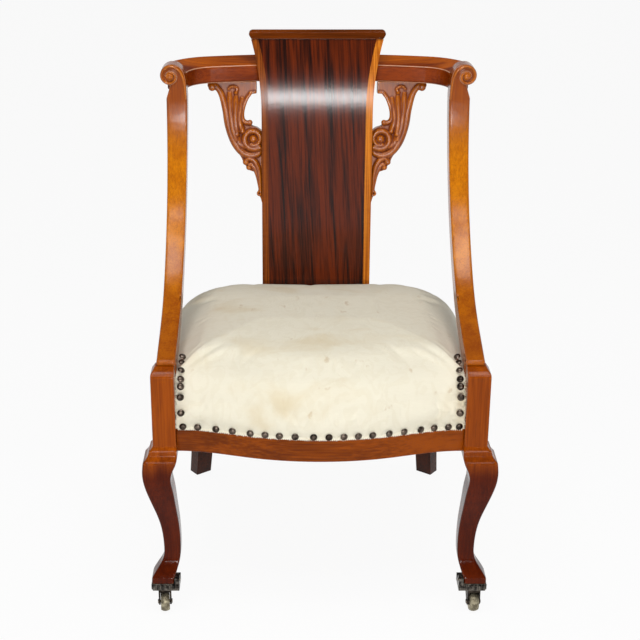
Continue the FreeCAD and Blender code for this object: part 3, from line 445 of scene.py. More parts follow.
# Seat frame. The front rail is show wood, bowed and polished; side and back rails are plain mahogany under
# the cover. Beech corner braces and dowels are left raw, since nobody sees them.
front_rail_wood = polished_wood("front_rail_mahogany", ALONG_X, paint(150, 70, 6), paint(104, 44, 4),
                                polish=0.12, haze=0.16)
front_rail_easing = 0.0013
eased("front_seat_rail", front_rail_wood, front_rail_easing)
dress(rail_wood, "back_seat_rail")
side_rail_wood = polished_wood("side_rail_mahogany", ALONG_Y, paint(148, 76, 30), paint(100, 44, 19))
dress(side_rail_wood, "side_seat_rail_left", "side_seat_rail_right")

beech = Finish("raw_beech", Specular_IOR_Level=0.25)
beech_grain = beech.noise((260.0, 18.0, 260.0), 3.0, 0.4)
beech_fleck = beech.span(beech.noise((700.0, 120.0, 500.0), 1.0), 0.6, 0.7)
beech_colour = beech.blend(beech.span(beech_grain, 0.3, 0.7), paint(176, 138, 96), paint(206, 172, 130))
beech.give(Base_Color=beech.blend(beech_fleck * 0.5, beech_colour, paint(150, 108, 72)),
           Roughness=0.62 + beech_grain * 0.2)
beech.emboss(beech_grain, 0.0003, 0.4)
dress(beech.material, "corner_braces", "joint_dowels")


# Rear legs. Plain mahogany, set cornerwise in the back of the seat frame and doweled to its rails; they
# curve back to the floor. They are painted far darker than the front legs: painted shade, for the shadow
# under the seat.
shaded_rear_wood = polished_wood("shaded_rear_leg_mahogany", ALONG_Z, paint(76, 30, 6), paint(44, 16, 4),
                          polish=0.04, haze=0.18)
rear_leg_easing = 0.0016
for leg in ("rear_leg_left", "rear_leg_right"):
    eased(leg, shaded_rear_wood, rear_leg_easing)


# Back splat. A mahogany board sawn to a rolled curve and tenoned into the back rail, faced with
# ribbon-striped veneer and, down each edge, a glued band of straight golden veneer.
def ribbon_veneer():
    """Veneer cut from ribbon-grained mahogany, its stripes a little off the upright."""
    veneer = Finish("ribbon_veneer", Specular_IOR_Level=0.25)
    x, y, z = [veneer.node("SeparateXYZ", None, {0: veneer.place()}, out=axis) for axis in "XYZ"]
    drift = veneer.node("CombineXYZ", None, {"X": x + z * 0.05, "Y": y, "Z": z})

    def ribbons(across, along, detail, warp):
        return veneer.noise((across, 4.0, along), detail, warp, drift)

    broad = ribbons(88.0, 4.6, 2.0, 0.5)
    narrow = ribbons(260.0, 9.0, 2.0, 0.5)
    hair = ribbons(900.0, 26.0, 1.0, 0.1)
    stripe = veneer.span(broad * 0.5 + narrow * 0.36 + hair * 0.14, 0.37, 0.62)
    colour = veneer.blend(stripe, paint(32, 8, 3), paint(100, 34, 3))
    colour = veneer.blend(veneer.span(hair, 0.6, 0.75) * 0.4, colour, paint(24, 9, 6))
    grit = veneer.noise((330.0, 330.0, 330.0), 2.0)
    veneer.give(Base_Color=colour, Roughness=0.1 + narrow * 0.05 + hair * 0.04)
    veneer.emboss(grit, 0.0006, 0.11)
    return veneer.material


def banding(name, pale, deep):
    """Straight-grained veneer, faintly barred across."""
    band = Finish(name, Specular_IOR_Level=0.15)
    lines = band.noise((420.0, 60.0, 5.0), 2.0, 0.2)
    cross = band.noise((60.0, 60.0, 240.0), 2.0)
    band.give(Base_Color=band.blend(band.span(lines * 0.9 + cross * 0.1, 0.34, 0.66), deep, pale),
              Roughness=0.14 + lines * 0.1)
    band.emboss(lines, 0.0002, 0.3)
    return band.material


splat_wood = polished_wood("splat_mahogany", ALONG_Z, paint(116, 52, 18), paint(70, 28, 12))
dress(splat_wood, "splat_core")
dress(ribbon_veneer(), "splat_veneer")
# The two bands are one veneer: the right is painted paler as a painted highlight and the left darker as
# painted shade.
dress(banding("banding_right", paint(214, 128, 34), paint(160, 82, 18)), "splat_banding_right")
dress(banding("banding_left", paint(148, 74, 14), paint(96, 42, 8)), "splat_banding_left")


# Crest moulding. A short length of mahogany, rolled over backwards and glued on the splat's top edge; its
# ends are cut on the slant, following the flare of the splat, and rounded over.
crest_wood = polished_wood("crest_mahogany", ALONG_X, paint(114, 50, 7), paint(70, 28, 4), polish=0.07)
crest_easing = 0.0012
crest = eased("crest_moulding", crest_wood, crest_easing, shortest=0.0)
crest_low, crest_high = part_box("crest_moulding")
crest_round = 0.007
crest_slant = 0.010
crest_round_share = 0.35
crest_cuts = 10
crest_end_share = 0.8
crest_form = bmesh.new()
crest_form.from_mesh(crest.data)
for k in range(1, crest_cuts):
    level = crest_low.z + (crest_high.z - crest_low.z) * k / crest_cuts
    bmesh.ops.bisect_plane(crest_form, geom=crest_form.verts[:] + crest_form.edges[:] + crest_form.faces[:],
                           plane_co=(0, 0, level), plane_no=(0, 0, 1))
for vertex in crest_form.verts:
    drop = (crest_high.z - vertex.co.z) / (crest_high.z - crest_low.z)
    if drop < crest_round_share:
        inset = crest_round * (1 - math.sqrt(max(0.0, 1 - (1 - drop / crest_round_share) ** 2)))
    else:
        inset = crest_slant * (drop - crest_round_share) / (1 - crest_round_share)
    if abs(vertex.co.x) > crest_high.x * crest_end_share:
        vertex.co.x -= math.copysign(inset, vertex.co.x)
crest_form.to_mesh(crest.data)
crest_form.free()


# Carved brackets. Each is an acanthus console carved in mahogany: a top plate under the rail, leaf strands
# down the stem, a volute against the splat and a leaf tail down its edge. Glued to rail and splat.
bracket_lean = math.radians(7.5)
bracket_low, bracket_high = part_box("carved_bracket_right")
bracket_top = bracket_high.z
splat_edge = bracket_low.x
bracket_thickness = 0.024
bracket_face_y = bracket_high.y - bracket_thickness * math.cos(bracket_lean)


def bracket_point(out, down, lift):
    """Place on the right bracket: millimetres out of the splat, under the rail and proud of the face."""
    y = -lift * mm * math.cos(bracket_lean) - down * mm * math.sin(bracket_lean)
    z = lift * mm * math.sin(bracket_lean) - down * mm * math.cos(bracket_lean)
    return Vector((splat_edge + out * mm, bracket_face_y + y, bracket_top + z))


def spiral(centre_out, centre_down, start_radius, end_radius, start_turn, turns, half, lift, count=20):
    """Control points of a strand that winds in towards an eye."""
    points = []
    for i in range(count + 1):
        share = i / count
        angle = 2 * math.pi * (start_turn + turns * share)
        radius = start_radius + (end_radius - start_radius) * share
        points.append((centre_out + radius * math.cos(angle), centre_down + radius * math.sin(angle),
                       half * (1 - 0.35 * share), lift))
    return points


bracket_outline = [
    (9, 0), (97, 0), (98, 8), (93, 16), (85, 16), (79, 15), (73, 23), (66.5, 48), (62.5, 80), (53, 114),
    (37, 139), (34, 147), (29, 154), (24, 161), (15, 164), (9.5, 172), (6, 186), (7, 197), (8, 204),
    (3, 212), (0, 223), (0, 90), (8, 84), (18, 81), (21, 74), (30, 72), (36, 66), (33.5, 48), (26, 30),
    (19, 22), (9, 22)]
stem_strands = [
    [(93, 6, 4, 2), (83, 9, 5, 2.6), (73, 23, 5.5, 3.6), (65.5, 50, 6.5, 5), (60, 80, 7.4, 6.4),
     (50, 109, 7.4, 6.4), (36, 128, 7, 5.8), (21, 134, 6.4, 5.2), (8, 131, 5.6, 4.6), (2, 124, 4, 3.4)],
    [(46, 24, 3, 1.6), (47, 42, 6, 4.8), (48, 62, 7, 7.2), (47, 80, 7, 8.4), (45, 92, 5.4, 7.6)],
    [(58, 19, 3, 1.6), (57.5, 42, 6, 4.6), (55.5, 66, 6.6, 7), (52, 88, 6.6, 7.8), (46, 107, 5.4, 6.6)],
    [(35, 28, 3, 1.4), (38, 46, 5, 4), (40.5, 64, 5.8, 6.2), (39, 78, 6, 7.6), (35, 88, 4.8, 7)],
    [(20, 22, 3, 1.4), (27, 31, 3.4, 2), (34, 49, 4, 3), (35.5, 64, 4.4, 4.4), (31, 72.5, 4.2, 5),
     (22, 74.5, 4.2, 4.6)],
    [(60, 15, 2, 1.0), (56, 10, 2.3, 1.6), (49, 9.5, 2.4, 2.0), (44, 14, 2.5, 2.2), (46.5, 20, 2.2, 2.4)],
    [(10, 19.5, 2.6, 1.8), (20, 20.5, 2.6, 1.8), (23, 25, 1.6, 1.6)]]
tail_strands = [
    [(30, 145, 4.4, 4.6), (24, 139.5, 5, 5.2), (15, 143, 5.2, 5.6), (8.5, 154, 5.2, 5.4),
     (5, 170, 4.4, 4.8), (3.5, 188, 3.2, 4), (2.5, 201, 2.2, 3)],
    [(25, 152, 4, 4), (18.5, 151, 4.4, 4.6), (12.5, 159, 4.4, 4.6), (8, 173, 3.6, 4), (5.5, 188, 2.8, 3.4),
     (4.5, 198, 1.9, 2.6)],
    spiral(4.6, 204.5, 4.2, 2.2, 0.7, 0.9, 2.1, 3.2, 10)]
leaf_lobes = [
    (89.5, 10.5, 7.2, 4.4), (45.5, 95, 5.6, 8), (35, 89.5, 5, 7.4), (21.5, 74, 5.2, 5.2), (29.5, 146, 6, 6),
    (24, 156, 5.2, 5.2), (46.5, 20.5, 3.2, 4.2)]
volute_middle = (15.6, 103.9)


def carved_bracket():
    """Board in the bracket's outline with strands, whorl and lobes carved proud of it."""
    mesh = bmesh.new()
    front = [bracket_point(out, down, 0) for out, down in bracket_outline]
    back = [bracket_point(out, down, -bracket_thickness / mm) for out, down in bracket_outline]
    add_tube(mesh, [front, back])
    for strand in stem_strands + tail_strands:
        add_strand(mesh, strand, bracket_point)
    whorl = [(50, 78, 5, 3), (46, 99, 6, 5), (37, 115, 6.6, 6)]
    whorl += spiral(*volute_middle, 18.4, 10.4, 0.36, -1.2, 6.6, 7.4, 30)
    add_strand(mesh, whorl, bracket_point, steps=3)
    add_boss(mesh, *volute_middle, 7.6, 7.6, bracket_point)
    for lobe in leaf_lobes:
        add_boss(mesh, *lobe, bracket_point)
    return mesh_data(mesh, "carved_bracket")


bracket_grit = 0.00095
bracket_passes = 2
splat_gap = 0.0002
bracket_mesh = sanded(carved_bracket(), bracket_grit, bracket_passes)
for vertex in bracket_mesh.vertices:
    vertex.co.x = max(vertex.co.x, splat_edge + splat_gap)
    vertex.co.z = min(vertex.co.z, bracket_top)
for side, bracket in (("right", bracket_mesh), ("left", mirrored(bracket_mesh))):
    new_piece("acanthus_bracket_" + side, bracket, carved_wood, "mahogany", "carved_bracket_" + side)


# Webbing. Ten straps of jute, five each way, woven over and under each other, pulled tight and tacked under
# the seat rails.
strap_width = 0.050
strap_thickness = 0.0016
strap_pitch_x = 0.080
strap_pitch_y = 0.070
strap_count = 5
strap_lift = 0.0011
strap_steps = 96
web_forward = 0.0135
web_low, web_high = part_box("seat_webbing")
web_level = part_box("front_seat_rail")[0].z - strap_thickness
web_middle_y = (web_low.y + web_high.y) / 2 - web_forward


def jute(name, warp, weft, pitch):
    """Plain jute weave with slubs in its threads."""
    cloth = Finish(name, Specular_IOR_Level=0.15, Sheen_Weight=0.2)
    threads = {"Vector": cloth.place(), "Scale": pitch, "Distortion": 1.2}
    across = cloth.node("TexWave", {"bands_direction": "X"}, threads)
    along = cloth.node("TexWave", {"bands_direction": "Y"}, threads)
    slub = cloth.noise((120.0, 120.0, 120.0), 3.0)
    colour = cloth.blend(across, weft, warp)
    colour = cloth.blend(cloth.span(slub, 0.35, 0.7) * 0.5, colour, paint(104, 80, 52))
    cloth.give(Base_Color=colour, Roughness=0.8 + slub * 0.15)
    cloth.emboss(across * 0.5 + along * 0.5, 0.0008, 0.7)
    return cloth.material


strap_jute = jute("strap_jute", paint(168, 138, 98), paint(140, 112, 76), 95.0)


def thicken(piece, thickness, offset):
    """Real thickness of a cloth that is laid out as a sheet."""
    cloth = piece.modifiers.new("cloth", "SOLIDIFY")
    cloth.thickness = thickness
    cloth.offset = offset


def strap(name, along_x, place, start, end, crossings, over):
    """One strap as a thin woven band that passes over and under the ones across it."""
    half_pitch = 0.5 * abs(crossings[1] - crossings[0])
    edges = (place - strap_width / 2, place + strap_width / 2)
    rows = []
    for i in range(strap_steps + 1):
        run = start + (end - start) * i / strap_steps
        near = min(crossings, key=lambda c: abs(run - c))
        order = crossings.index(near)
        sign = 1 if (order % 2 == 0) == over else -1
        wave = math.cos(min(abs(run - near) / half_pitch, 1.0) * math.pi / 2)
        inside = crossings[0] - strap_width / 2 < run < crossings[-1] + strap_width / 2
        level = web_level + strap_thickness / 2 + (sign * strap_lift * wave if inside else 0.0)
        rows.append([(run, edge, level) if along_x else (edge, run, level) for edge in edges])
    mesh = bmesh.new()
    add_skin(mesh, rows, closed=False)
    piece = new_piece(name, mesh_data(mesh, name), strap_jute, "jute")
    thicken(piece, strap_thickness, 0)
    return piece


strap_offsets = [i - (strap_count - 1) / 2 for i in range(strap_count)]
straps_across = [strap_pitch_x * k for k in strap_offsets]
straps_along = [web_middle_y + strap_pitch_y * k for k in strap_offsets]
for i, place in enumerate(straps_across):
    name = f"strap_lengthways_{i + 1}"
    strap(name, False, place, web_low.y, web_high.y, straps_along, i % 2 == 0)
for i, place in enumerate(straps_along):
    name = f"strap_crossways_{i + 1}"
    strap(name, True, place, web_low.x, web_high.x, straps_across, i % 2 == 1)
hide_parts("seat_webbing")


# Seat springs. Five waisted coils of steel wire, washed with copper against rust and gone brown with age,
# stitched to the webbing.
spring_wire = Finish("spring_wire", Metallic=1.0)
spring_tarnish = spring_wire.noise((90.0, 90.0, 90.0), 3.0)
spring_wire.give(Base_Color=spring_wire.blend(spring_wire.span(spring_tarnish, 0.35, 0.65),
                                              paint(150, 120, 98), paint(96, 74, 60)),
                 Roughness=0.35 + spring_tarnish * 0.3)
dress(spring_wire.material, "seat_springs")


# Spring canvas. A piece of hessian drawn over the springs and tacked on the rails, under the stuffing. Like
# stuffing and cover, it follows the rails at its edge and is drawn in towards the crown of the seat.
def node_tree(name):
    """Search tree of a piece's surface, to find where it stands."""
    data = nodes[name].data
    return BVHTree.FromPolygons([v.co for v in data.vertices], [list(p.vertices) for p in data.polygons])


def first_hit(tree, start, way):
    """First point that a straight look from a start meets."""
    return tree.ray_cast(Vector(start), Vector(way))[0]


cover_low, cover_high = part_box("seat_cover")
rail_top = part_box("seat_stuffing")[0].z
hem_lift = 0.0055
hem_z = cover_low.z + hem_lift
block_half = 0.019
block_level = 0.40
block_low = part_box("side_seat_rail_right")[0].y
block_inner = first_hit(node_tree("front_leg_right"), (0, block_low - block_half, block_level), (1, 0, 0)).x
rail_margin = 0.002
rail_end = block_inner - rail_margin
rail_level = (rail_top + hem_z) / 2
rail_tree = node_tree("front_seat_rail")
front_flat = first_hit(rail_tree, (rail_end, -1, rail_level), (0, 1, 0)).y
pad_half = cover_high.x
pad_back = cover_high.y
pad_proud = 0.0025
pad_corner = 0.102
corner_least = 0.025
corner_draw = 0.55
bow_fade = 0.17
tuck = 0.001


def rail_bow(x):
    """How far the front rail stands forward of its ends."""
    held = max(-rail_end, min(rail_end, x))
    return front_flat - first_hit(rail_tree, (held, -1, rail_level), (0, 1, 0)).y


def pad_ring(inset, z, front_count=56, side_count=24, corner_count=10, back_count=26):
    """Level outline of the pad, drawn in by an inset."""
    half = pad_half - inset
    back = pad_back - inset
    corner = max(pad_corner - corner_draw * inset, corner_least)
    bow = max(0.0, 1 - inset / bow_fade)
    front = front_flat - pad_proud + inset
    ring = []
    for i in range(front_count):
        x = half * (2 * i / front_count - 1)
        ring.append((x, front - bow * rail_bow(x * pad_half / half), z))
    for i in range(side_count):
        ring.append((half, front + (back - corner - front) * i / side_count, z))
    for i in range(corner_count):
        angle = math.pi / 2 * i / corner_count
        ring.append((half - corner + corner * math.cos(angle), back - corner + corner * math.sin(angle), z))
    for i in range(back_count):
        ring.append(((half - corner) * (1 - 2 * i / back_count), back, z))
    for i in range(corner_count):
        angle = math.pi / 2 * (1 + i / corner_count)
        ring.append((corner - half + corner * math.cos(angle), back - corner + corner * math.sin(angle), z))
    for i in range(side_count):
        ring.append((-half, back - corner + (front - back + corner) * i / side_count, z))
    return ring


canvas_low, canvas_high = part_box("spring_hessian")
canvas_thickness = 0.0012
canvas_margin = pad_half - canvas_high.x
canvas_rise = canvas_high.z - canvas_low.z
canvas_steps = [(0.0, 0.0), (0.036, 0.55), (0.086, 0.92), (0.136, 1.0)]


def canvas_sheet():
    """Hessian from its tacked edge to the flat over the springs, cut clear of the corner blocks."""
    rings = []
    for inset, share in smooth_path(canvas_steps, 5):
        ring = []
        for x, y, z in pad_ring(canvas_margin + inset, canvas_low.z + share * canvas_rise):
            y = min(y, canvas_high.y)
            if abs(x) > block_inner - tuck and y < block_low + tuck:
                x = math.copysign(block_inner - tuck, x)
            ring.append((x, y, z))
        rings.append(ring)
    mesh = bmesh.new()
    mesh.faces.new(add_skin(mesh, rings)[-1])
    return mesh_data(mesh, "spring_canvas")


hessian = jute("hessian", paint(172, 146, 106), paint(150, 124, 86), 160.0)
canvas = new_piece("spring_canvas", canvas_sheet(), hessian, "jute", "spring_hessian")
thicken(canvas, canvas_thickness, -1)


# Seat pad. Horsehair and wadding over the springs, crowned and drawn down to the rails under a cover of
# ivory cotton damask; the cover is tucked round the blocks and arms and held along its edge by nails.
crown_z = cover_high.z
pad_rise = crown_z - rail_top
pad_steps = [(0.0, hem_z), (0.0, rail_top + 0.012), (0.007, rail_top + 0.44 * pad_rise),
             (0.025, rail_top + 0.68 * pad_rise), (0.060, rail_top + 0.85 * pad_rise),
             (0.108, rail_top + 0.945 * pad_rise), (0.165, crown_z)]
pad_grit = 0.005
pad_cap = 0.005
pad_frames = 20
nailed_below = 0.352


def pad_form():
    """Crowned pad with its sides drawn in, before it is filled."""
    mesh = bmesh.new()
    add_tube(mesh, [pad_ring(inset, z) for inset, z in smooth_path(pad_steps, 4)])
    return mesh_data(mesh, "pad_form")


def swollen(data):
    """The pad blown out a little against its nails, so that the cover looks filled."""
    pad = bpy.data.objects.new("pad", data)
    bpy.context.scene.collection.objects.link(pad)
    held = pad.vertex_groups.new(name="held")
    held.add([v.index for v in data.vertices if v.co.z < nailed_below], 1.0, "REPLACE")
    rest = [v.co.copy() for v in data.vertices]
    cloth = pad.modifiers.new("fill", "CLOTH")
    cloth.settings.quality = 4
    cloth.settings.mass = 0.3
    cloth.settings.tension_stiffness = 12
    cloth.settings.compression_stiffness = 12
    cloth.settings.bending_stiffness = 1.2
    cloth.settings.use_pressure = True
    cloth.settings.uniform_pressure_force = 4
    cloth.settings.vertex_group_mass = "held"
    cloth.settings.effector_weights.gravity = 0
    scene = bpy.context.scene
    for step in range(1, pad_frames + 1):
        scene.frame_set(step)
    filled = settled(pad)
    for vertex, start in zip(filled.vertices, rest):
        move = vertex.co - start
        if move.length > pad_cap:
            vertex.co = start + move.normalized() * pad_cap
    scene.frame_set(1)
    bpy.data.objects.remove(pad)
    return filled


nail_shank = 0.009
nail_weld = 1e-6
tip_points = 8


def nail_places():
    """Foot of each nail's head and the way it faces, read from the driven nails."""
    data = nodes["upholstery_nails"].data
    mesh = bmesh.new()
    mesh.from_mesh(data)
    bmesh.ops.remove_doubles(mesh, verts=mesh.verts, dist=nail_weld)
    places = []
    seen = set()
    for seed in mesh.verts:
        if seed in seen:
            continue
        group = [seed]
        seen.add(seed)
        for vertex in group:
            for edge in vertex.link_edges:
                other = edge.other_vert(vertex)
                if other not in seen:
                    seen.add(other)
                    group.append(other)
        points = [v.co.copy() for v in group]
        middle = sum(points, Vector()) / len(points)
        points.sort(key=lambda p: (p - middle).length)
        tip = sum(points[-tip_points:], Vector()) / tip_points
        way = (middle - tip).normalized()
        places.append((tip + way * nail_shank, way))
    mesh.free()
    return places


nail_seats = nail_places()
dent_depth = 0.0016
dent_reach = 0.0085
arm_tree = node_tree("arm_upright_right")
arm_inner = upright_low.x
arm_margin = 0.002
under_arms = 0.30
splat_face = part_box("splat_veneer")[0].y


def tucked(point):
    """Where a point of the cover ends up once it is tucked clear of blocks, arms and splat."""
    side = math.copysign(1.0, point.x)
    x, y, z = abs(point.x), point.y, point.z
    behind_block = block_low + tuck
    if x > block_inner - tuck and y < behind_block:
        if x - block_inner < behind_block - y:
            x = block_inner - tuck
        else:
            y = behind_block
    if x > arm_inner - tuck and y >= block_low:
        under = first_hit(arm_tree, (max(x, arm_inner + arm_margin), y, under_arms), (0, 0, 1))
        if under is not None:
            z = min(z, under.z - tuck)
    if x < splat_edge + tuck and y > splat_face - tuck and z > rail_top:
        y = splat_face - tuck
    return Vector((side * x, y, z))


def dented(point):
    """Pull of the nails on the cover round each head."""
    for seat, way in nail_seats:
        near = (point - seat).length
        if near < 3 * dent_reach:
            point = point - way * (dent_depth * math.exp(-(near / dent_reach) ** 2))
    return point


front_folds = [(-0.196, 0.0016, 0.010), (-0.120, 0.0009, 0.012), (-0.035, 0.0008, 0.015),
               (0.060, 0.0009, 0.012), (0.128, 0.0011, 0.010), (0.190, 0.0018, 0.011)]
fold_top = 0.43
fold_fall = 0.05
fold_middle = 0.38
fold_lean = 0.1
fold_front = -0.16


def crease(point):
    """Soft folds where the cover is drawn down over the front edge."""
    x, y, z = point
    drop = max(0.0, min(1.0, (fold_top - z) / fold_fall))
    folds = 0.0
    for place, depth, width in front_folds:
        folds += depth * math.exp(-((x - place - fold_lean * (z - fold_middle)) / width) ** 2)
    if y < fold_front:
        point = point + Vector((0, folds * drop, 0))
    return point


damask = Finish("ivory_damask", Specular_IOR_Level=0.2, Sheen_Weight=0.25, Sheen_Roughness=0.4)
weave = damask.node("TexWave", {"bands_direction": "DIAGONAL"},
                    {"Vector": damask.place(), "Scale": 420.0, "Distortion": 2.0, "Detail": 1.0})
slub = damask.noise((60.0, 420.0, 420.0), 2.0)
motif = damask.span(damask.noise((34.0, 34.0, 20.0), 1.0, 2.2), 0.5, 0.56)
soil = damask.span(damask.noise((9.0, 16.0, 9.0), 4.0, 0.6), 0.52, 0.78)
spots = damask.span(damask.noise((46.0, 30.0, 46.0), 3.0), 0.66, 0.76)
ivory = damask.blend(motif * 0.35, paint(233, 227, 207), paint(226, 218, 194))
ivory = damask.blend(soil * 0.5, ivory, paint(210, 188, 142))
ivory = damask.blend(spots * 0.4, ivory, paint(184, 152, 104))
ivory = damask.blend(slub * 0.12, ivory, paint(196, 186, 160))
damask.give(Base_Color=ivory, Roughness=0.78 - motif * 0.16 + slub * 0.1)
damask.emboss(weave * 0.25 + motif * 0.3 + slub * 0.3, 0.0006, 0.5)

cover_thickness = 0.002
hem_band = 0.002
facing_down = -0.6
pad_mesh = sanded(pad_form(), pad_grit, 0)
pad_mesh = swollen(pad_mesh)
under_pad = bmesh.new()
under_pad.from_mesh(pad_mesh)
bottom = [f for f in under_pad.faces
          if f.calc_center_median().z < hem_z + hem_band and f.normal.z < facing_down]
bmesh.ops.delete(under_pad, geom=bottom, context="FACES")
bmesh.ops.subdivide_edges(under_pad, edges=under_pad.edges, cuts=1, use_grid_fill=True, smooth=0.3)
for vertex in under_pad.verts:
    vertex.co = tucked(dented(crease(vertex.co)))
under_pad.to_mesh(pad_mesh)
under_pad.free()
cover = new_piece("damask_cover", pad_mesh, damask.material, "ivory_cover", "seat_cover", "seat_stuffing")
thicken(cover, cover_thickness, -1)


# Upholstery nails. Bronze-washed domed heads, hammered in close along the edge of the cover, each a little
# flattened and tarnished. Under the front row runs the pinked raw edge of the cover.
random.seed(7)
nail_radius = 0.0059
nail_dome = 0.0034
nail_profile = [(1.0, 0.0), (1.02, 0.06), (0.97, 0.20), (0.86, 0.46), (0.68, 0.72), (0.42, 0.92),
                (0.16, 0.995)]
nail_sides = 18
nail_lean = 0.06
nail_dint = 0.018
nail_mesh = bmesh.new()
for seat, way in nail_seats:
    sideways = way.cross(Vector((0, 0, 1)) if abs(way.z) < 0.9 else Vector((0, 1, 0))).normalized()
    upwards = sideways.cross(way)
    flatten = random.uniform(0.84, 1.0)
    lean = Vector((random.uniform(-nail_lean, nail_lean), random.uniform(-nail_lean, nail_lean)))
    rings = []
    for reach, rise in nail_profile:
        ring = []
        for k in range(nail_sides):
            angle = 2 * math.pi * k / nail_sides
            dint = 1 + random.uniform(-nail_dint, nail_dint) * (rise > 0.1)
            a = reach * nail_radius * math.cos(angle)
            b = reach * nail_radius * math.sin(angle)
            tilt = 1 + lean.x * math.cos(angle) + lean.y * math.sin(angle)
            lift = rise * nail_dome * flatten * dint * tilt
            ring.append(seat + sideways * a + upwards * b + way * lift)
        rings.append(ring)
    add_tube(nail_mesh, rings)
bronze = Finish("aged_bronze", Metallic=1.0)
tarnish = bronze.noise((160.0, 160.0, 160.0), 3.0)
grime = bronze.span(bronze.noise((70.0, 70.0, 70.0), 2.0), 0.42, 0.62)
bronze.give(Base_Color=bronze.blend(grime, bronze.blend(tarnish, paint(120, 107, 96), paint(82, 72, 64)),
                                    paint(52, 45, 40)),
            Roughness=0.24 + tarnish * 0.2)
bronze.emboss(tarnish, 0.0004, 0.3)
nail_data = mesh_data(nail_mesh, "domed_nails")
new_piece("domed_nails", nail_data, bronze.material, "aged_nails", "upholstery_nails")

pink_pitch = 0.0034
pink_depth = 0.0026
pink_proud = 0.0028
pink_tuck = 0.0018
pink_above = 0.004
pink_thickness = 0.0006
pink_margin = 0.003
pink_end = block_inner - pink_margin
pink_count = int(2 * pink_end / pink_pitch)
pink_rows = []
for i in range(2 * pink_count + 1):
    x = pink_end * (i / pink_count - 1)
    y = front_flat - rail_bow(x) - pink_proud
    tooth = pink_depth * random.uniform(0.6, 1.2) if i % 2 else 0.0
    pink_rows.append([(x, y + pink_tuck, hem_z + pink_above), (x, y, hem_z - tooth)])
pink_mesh = bmesh.new()
add_skin(pink_mesh, pink_rows, closed=False)
pinked_edge = new_piece("pinked_edge", mesh_data(pink_mesh, "pinked_edge"), damask.material, "ivory_cover",
                        smooth=False)
thicken(pinked_edge, pink_thickness, 0)


# Castors. A ribbed cast socket screwed to the toe, a dark forged fork on a pin, and a turned brass wheel
# on a steel axle; all are dull and pitted with age.
def aged_metal(name, pale, dark, roughness):
    """Cast or turned metal with stains, and pits that have lost their shine."""
    metal = Finish(name, Metallic=1.0)
    stain = metal.noise((120.0, 120.0, 120.0), 4.0)
    rust = metal.span(metal.noise((260.0, 260.0, 260.0), 2.0), 0.48, 0.66)
    metal.give(Base_Color=metal.blend(metal.span(stain, 0.36, 0.64), dark, pale),
               Roughness=roughness + rust * 0.2, Metallic=1.0 - rust * 0.35)
    metal.emboss(stain * 0.6 + rust * -0.4, 0.0006, 0.5)
    return metal.material


socket_metal = aged_metal("socket_iron", paint(112, 106, 98), paint(40, 37, 35), 0.36)
fork_metal = aged_metal("fork_iron", paint(70, 62, 54), paint(30, 26, 24), 0.45)
wheel_brass = aged_metal("wheel_brass", paint(168, 160, 136), paint(112, 104, 86), 0.5)
screw_steel = aged_metal("screw_steel", paint(120, 110, 96), paint(60, 52, 44), 0.4)
dress(socket_metal, "castor_socket_left", "castor_socket_right")
dress(fork_metal, "castor_fork_left", "castor_fork_right")
dress(wheel_brass, "castor_wheel_left", "castor_wheel_right")
dress(screw_steel, "castor_axle_left", "castor_axle_right", "castor_screws")


# Studio. A wide pale floor that curves up to a low wall far off, higher behind the chair, soft lamps over
# and in front of it, and the camera of the picture.
floor_rings = [(27.0, 3.3), (26.5, 2.0), (24.0, 0.8), (20.0, 0.2), (14.0, 0.0), (9.0, 0.0), (0.5, 0.0)]
floor_sides = 48
back_rise = 2.2
floor_rows = []
for reach, rise in floor_rings:
    row = []
    for i in range(floor_sides):
        turn = 2 * math.pi * i / floor_sides
        behind = max(0.0, math.sin(turn))
        row.append((reach * math.cos(turn), reach * math.sin(turn), rise * (1 + (back_rise - 1) * behind)))
    floor_rows.append(row)
floor_form = bmesh.new()
floor_form.faces.new(add_skin(floor_form, floor_rows)[-1])
floor_mesh = mesh_data(floor_form, "floor")
floor_mesh.shade_smooth()
floor_paint = Finish("pale_floor", Base_Color=(0.9, 0.9, 0.9, 1), Roughness=0.9, Specular_IOR_Level=0.1)
backdrop_white = 0.93
floor_seen = floor_paint.node("LightPath", out="Is Camera Ray")
for ray in ("Is Glossy Ray", "Is Transmission Ray"):
    floor_seen = floor_seen + floor_paint.node("LightPath", out=ray)
glow = floor_paint.node("Emission", None, {"Color": (1, 1, 1, 1), "Strength": 1.0})
lit = Wire(floor_paint, floor_paint.shader.outputs[0])
shown = floor_paint.node("MixShader", None, {0: floor_seen * backdrop_white, 1: lit, 2: glow})
floor_paint.tree.links.new(shown.socket, floor_paint.tree.nodes["Material Output"].inputs["Surface"])
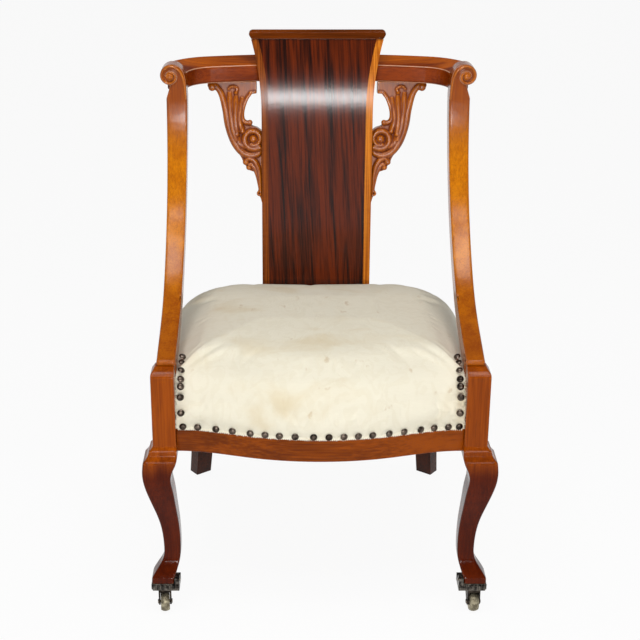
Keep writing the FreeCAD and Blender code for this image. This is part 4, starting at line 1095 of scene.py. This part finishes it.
floor = bpy.data.objects.new("floor", floor_mesh)
floor_mesh.materials.append(floor_paint.material)
bpy.context.scene.collection.objects.link(floor)


def lamp(name, place, target, width, depth, power):
    """Soft box turned to a target; the camera doesn't see it."""
    light = bpy.data.lights.new(name, "AREA")
    light.shape = "RECTANGLE"
    light.size = width
    light.size_y = depth
    light.energy = power
    holder = bpy.data.objects.new(name, light)
    holder.location = place
    holder.rotation_euler = (Vector(target) - Vector(place)).to_track_quat("-Z", "Y").to_euler()
    holder.visible_camera = False
    bpy.context.scene.collection.objects.link(holder)


lamp("over_left", (-0.58, -0.6, 2.5), (-0.1, 0.0, 0.5), 0.5, 0.7, 10.5)
lamp("over_right", (0.58, -0.6, 2.5), (0.1, 0.0, 0.5), 0.5, 0.7, 10.5)
lamp("front_box", (0.0, -2.6, 1.03), (0.0, 0.0, 0.78), 0.8, 0.22, 27)
lamp("front_high", (0.0, -1.27, 2.5), (0.0, -0.25, 0.4), 1.6, 0.22, 9)
lamp("side_left", (-1.05, -2.5, 0.75), (0.0, 0.0, 0.6), 0.07, 1.3, 4)
lamp("side_right", (1.05, -2.5, 0.75), (0.0, 0.0, 0.6), 0.07, 1.3, 4)

world_light = 0.2
world = bpy.data.worlds.new("studio")
world.use_nodes = True
world.node_tree.nodes["Background"].inputs["Color"].default_value = (1, 1, 1, 1)
world.node_tree.nodes["Background"].inputs["Strength"].default_value = world_light
bpy.context.scene.world = world
bpy.context.scene.view_settings.view_transform = "Standard"

image_size = 640
focal_pixels = 1370
centre_column = 288.3
camera_pitch = math.radians(21.74)
camera_place = (-0.052, -2.243, 1.330)
camera_data = bpy.data.cameras.new("camera")
camera_data.sensor_width = 36.0
camera_data.lens = focal_pixels * camera_data.sensor_width / image_size
camera_data.shift_x = (image_size / 2 - centre_column) / image_size
camera = bpy.data.objects.new("camera", camera_data)
camera.location = camera_place
camera.rotation_euler = (math.pi / 2 - camera_pitch, 0, 0)
bpy.context.scene.collection.objects.link(camera)
bpy.context.scene.camera = camera
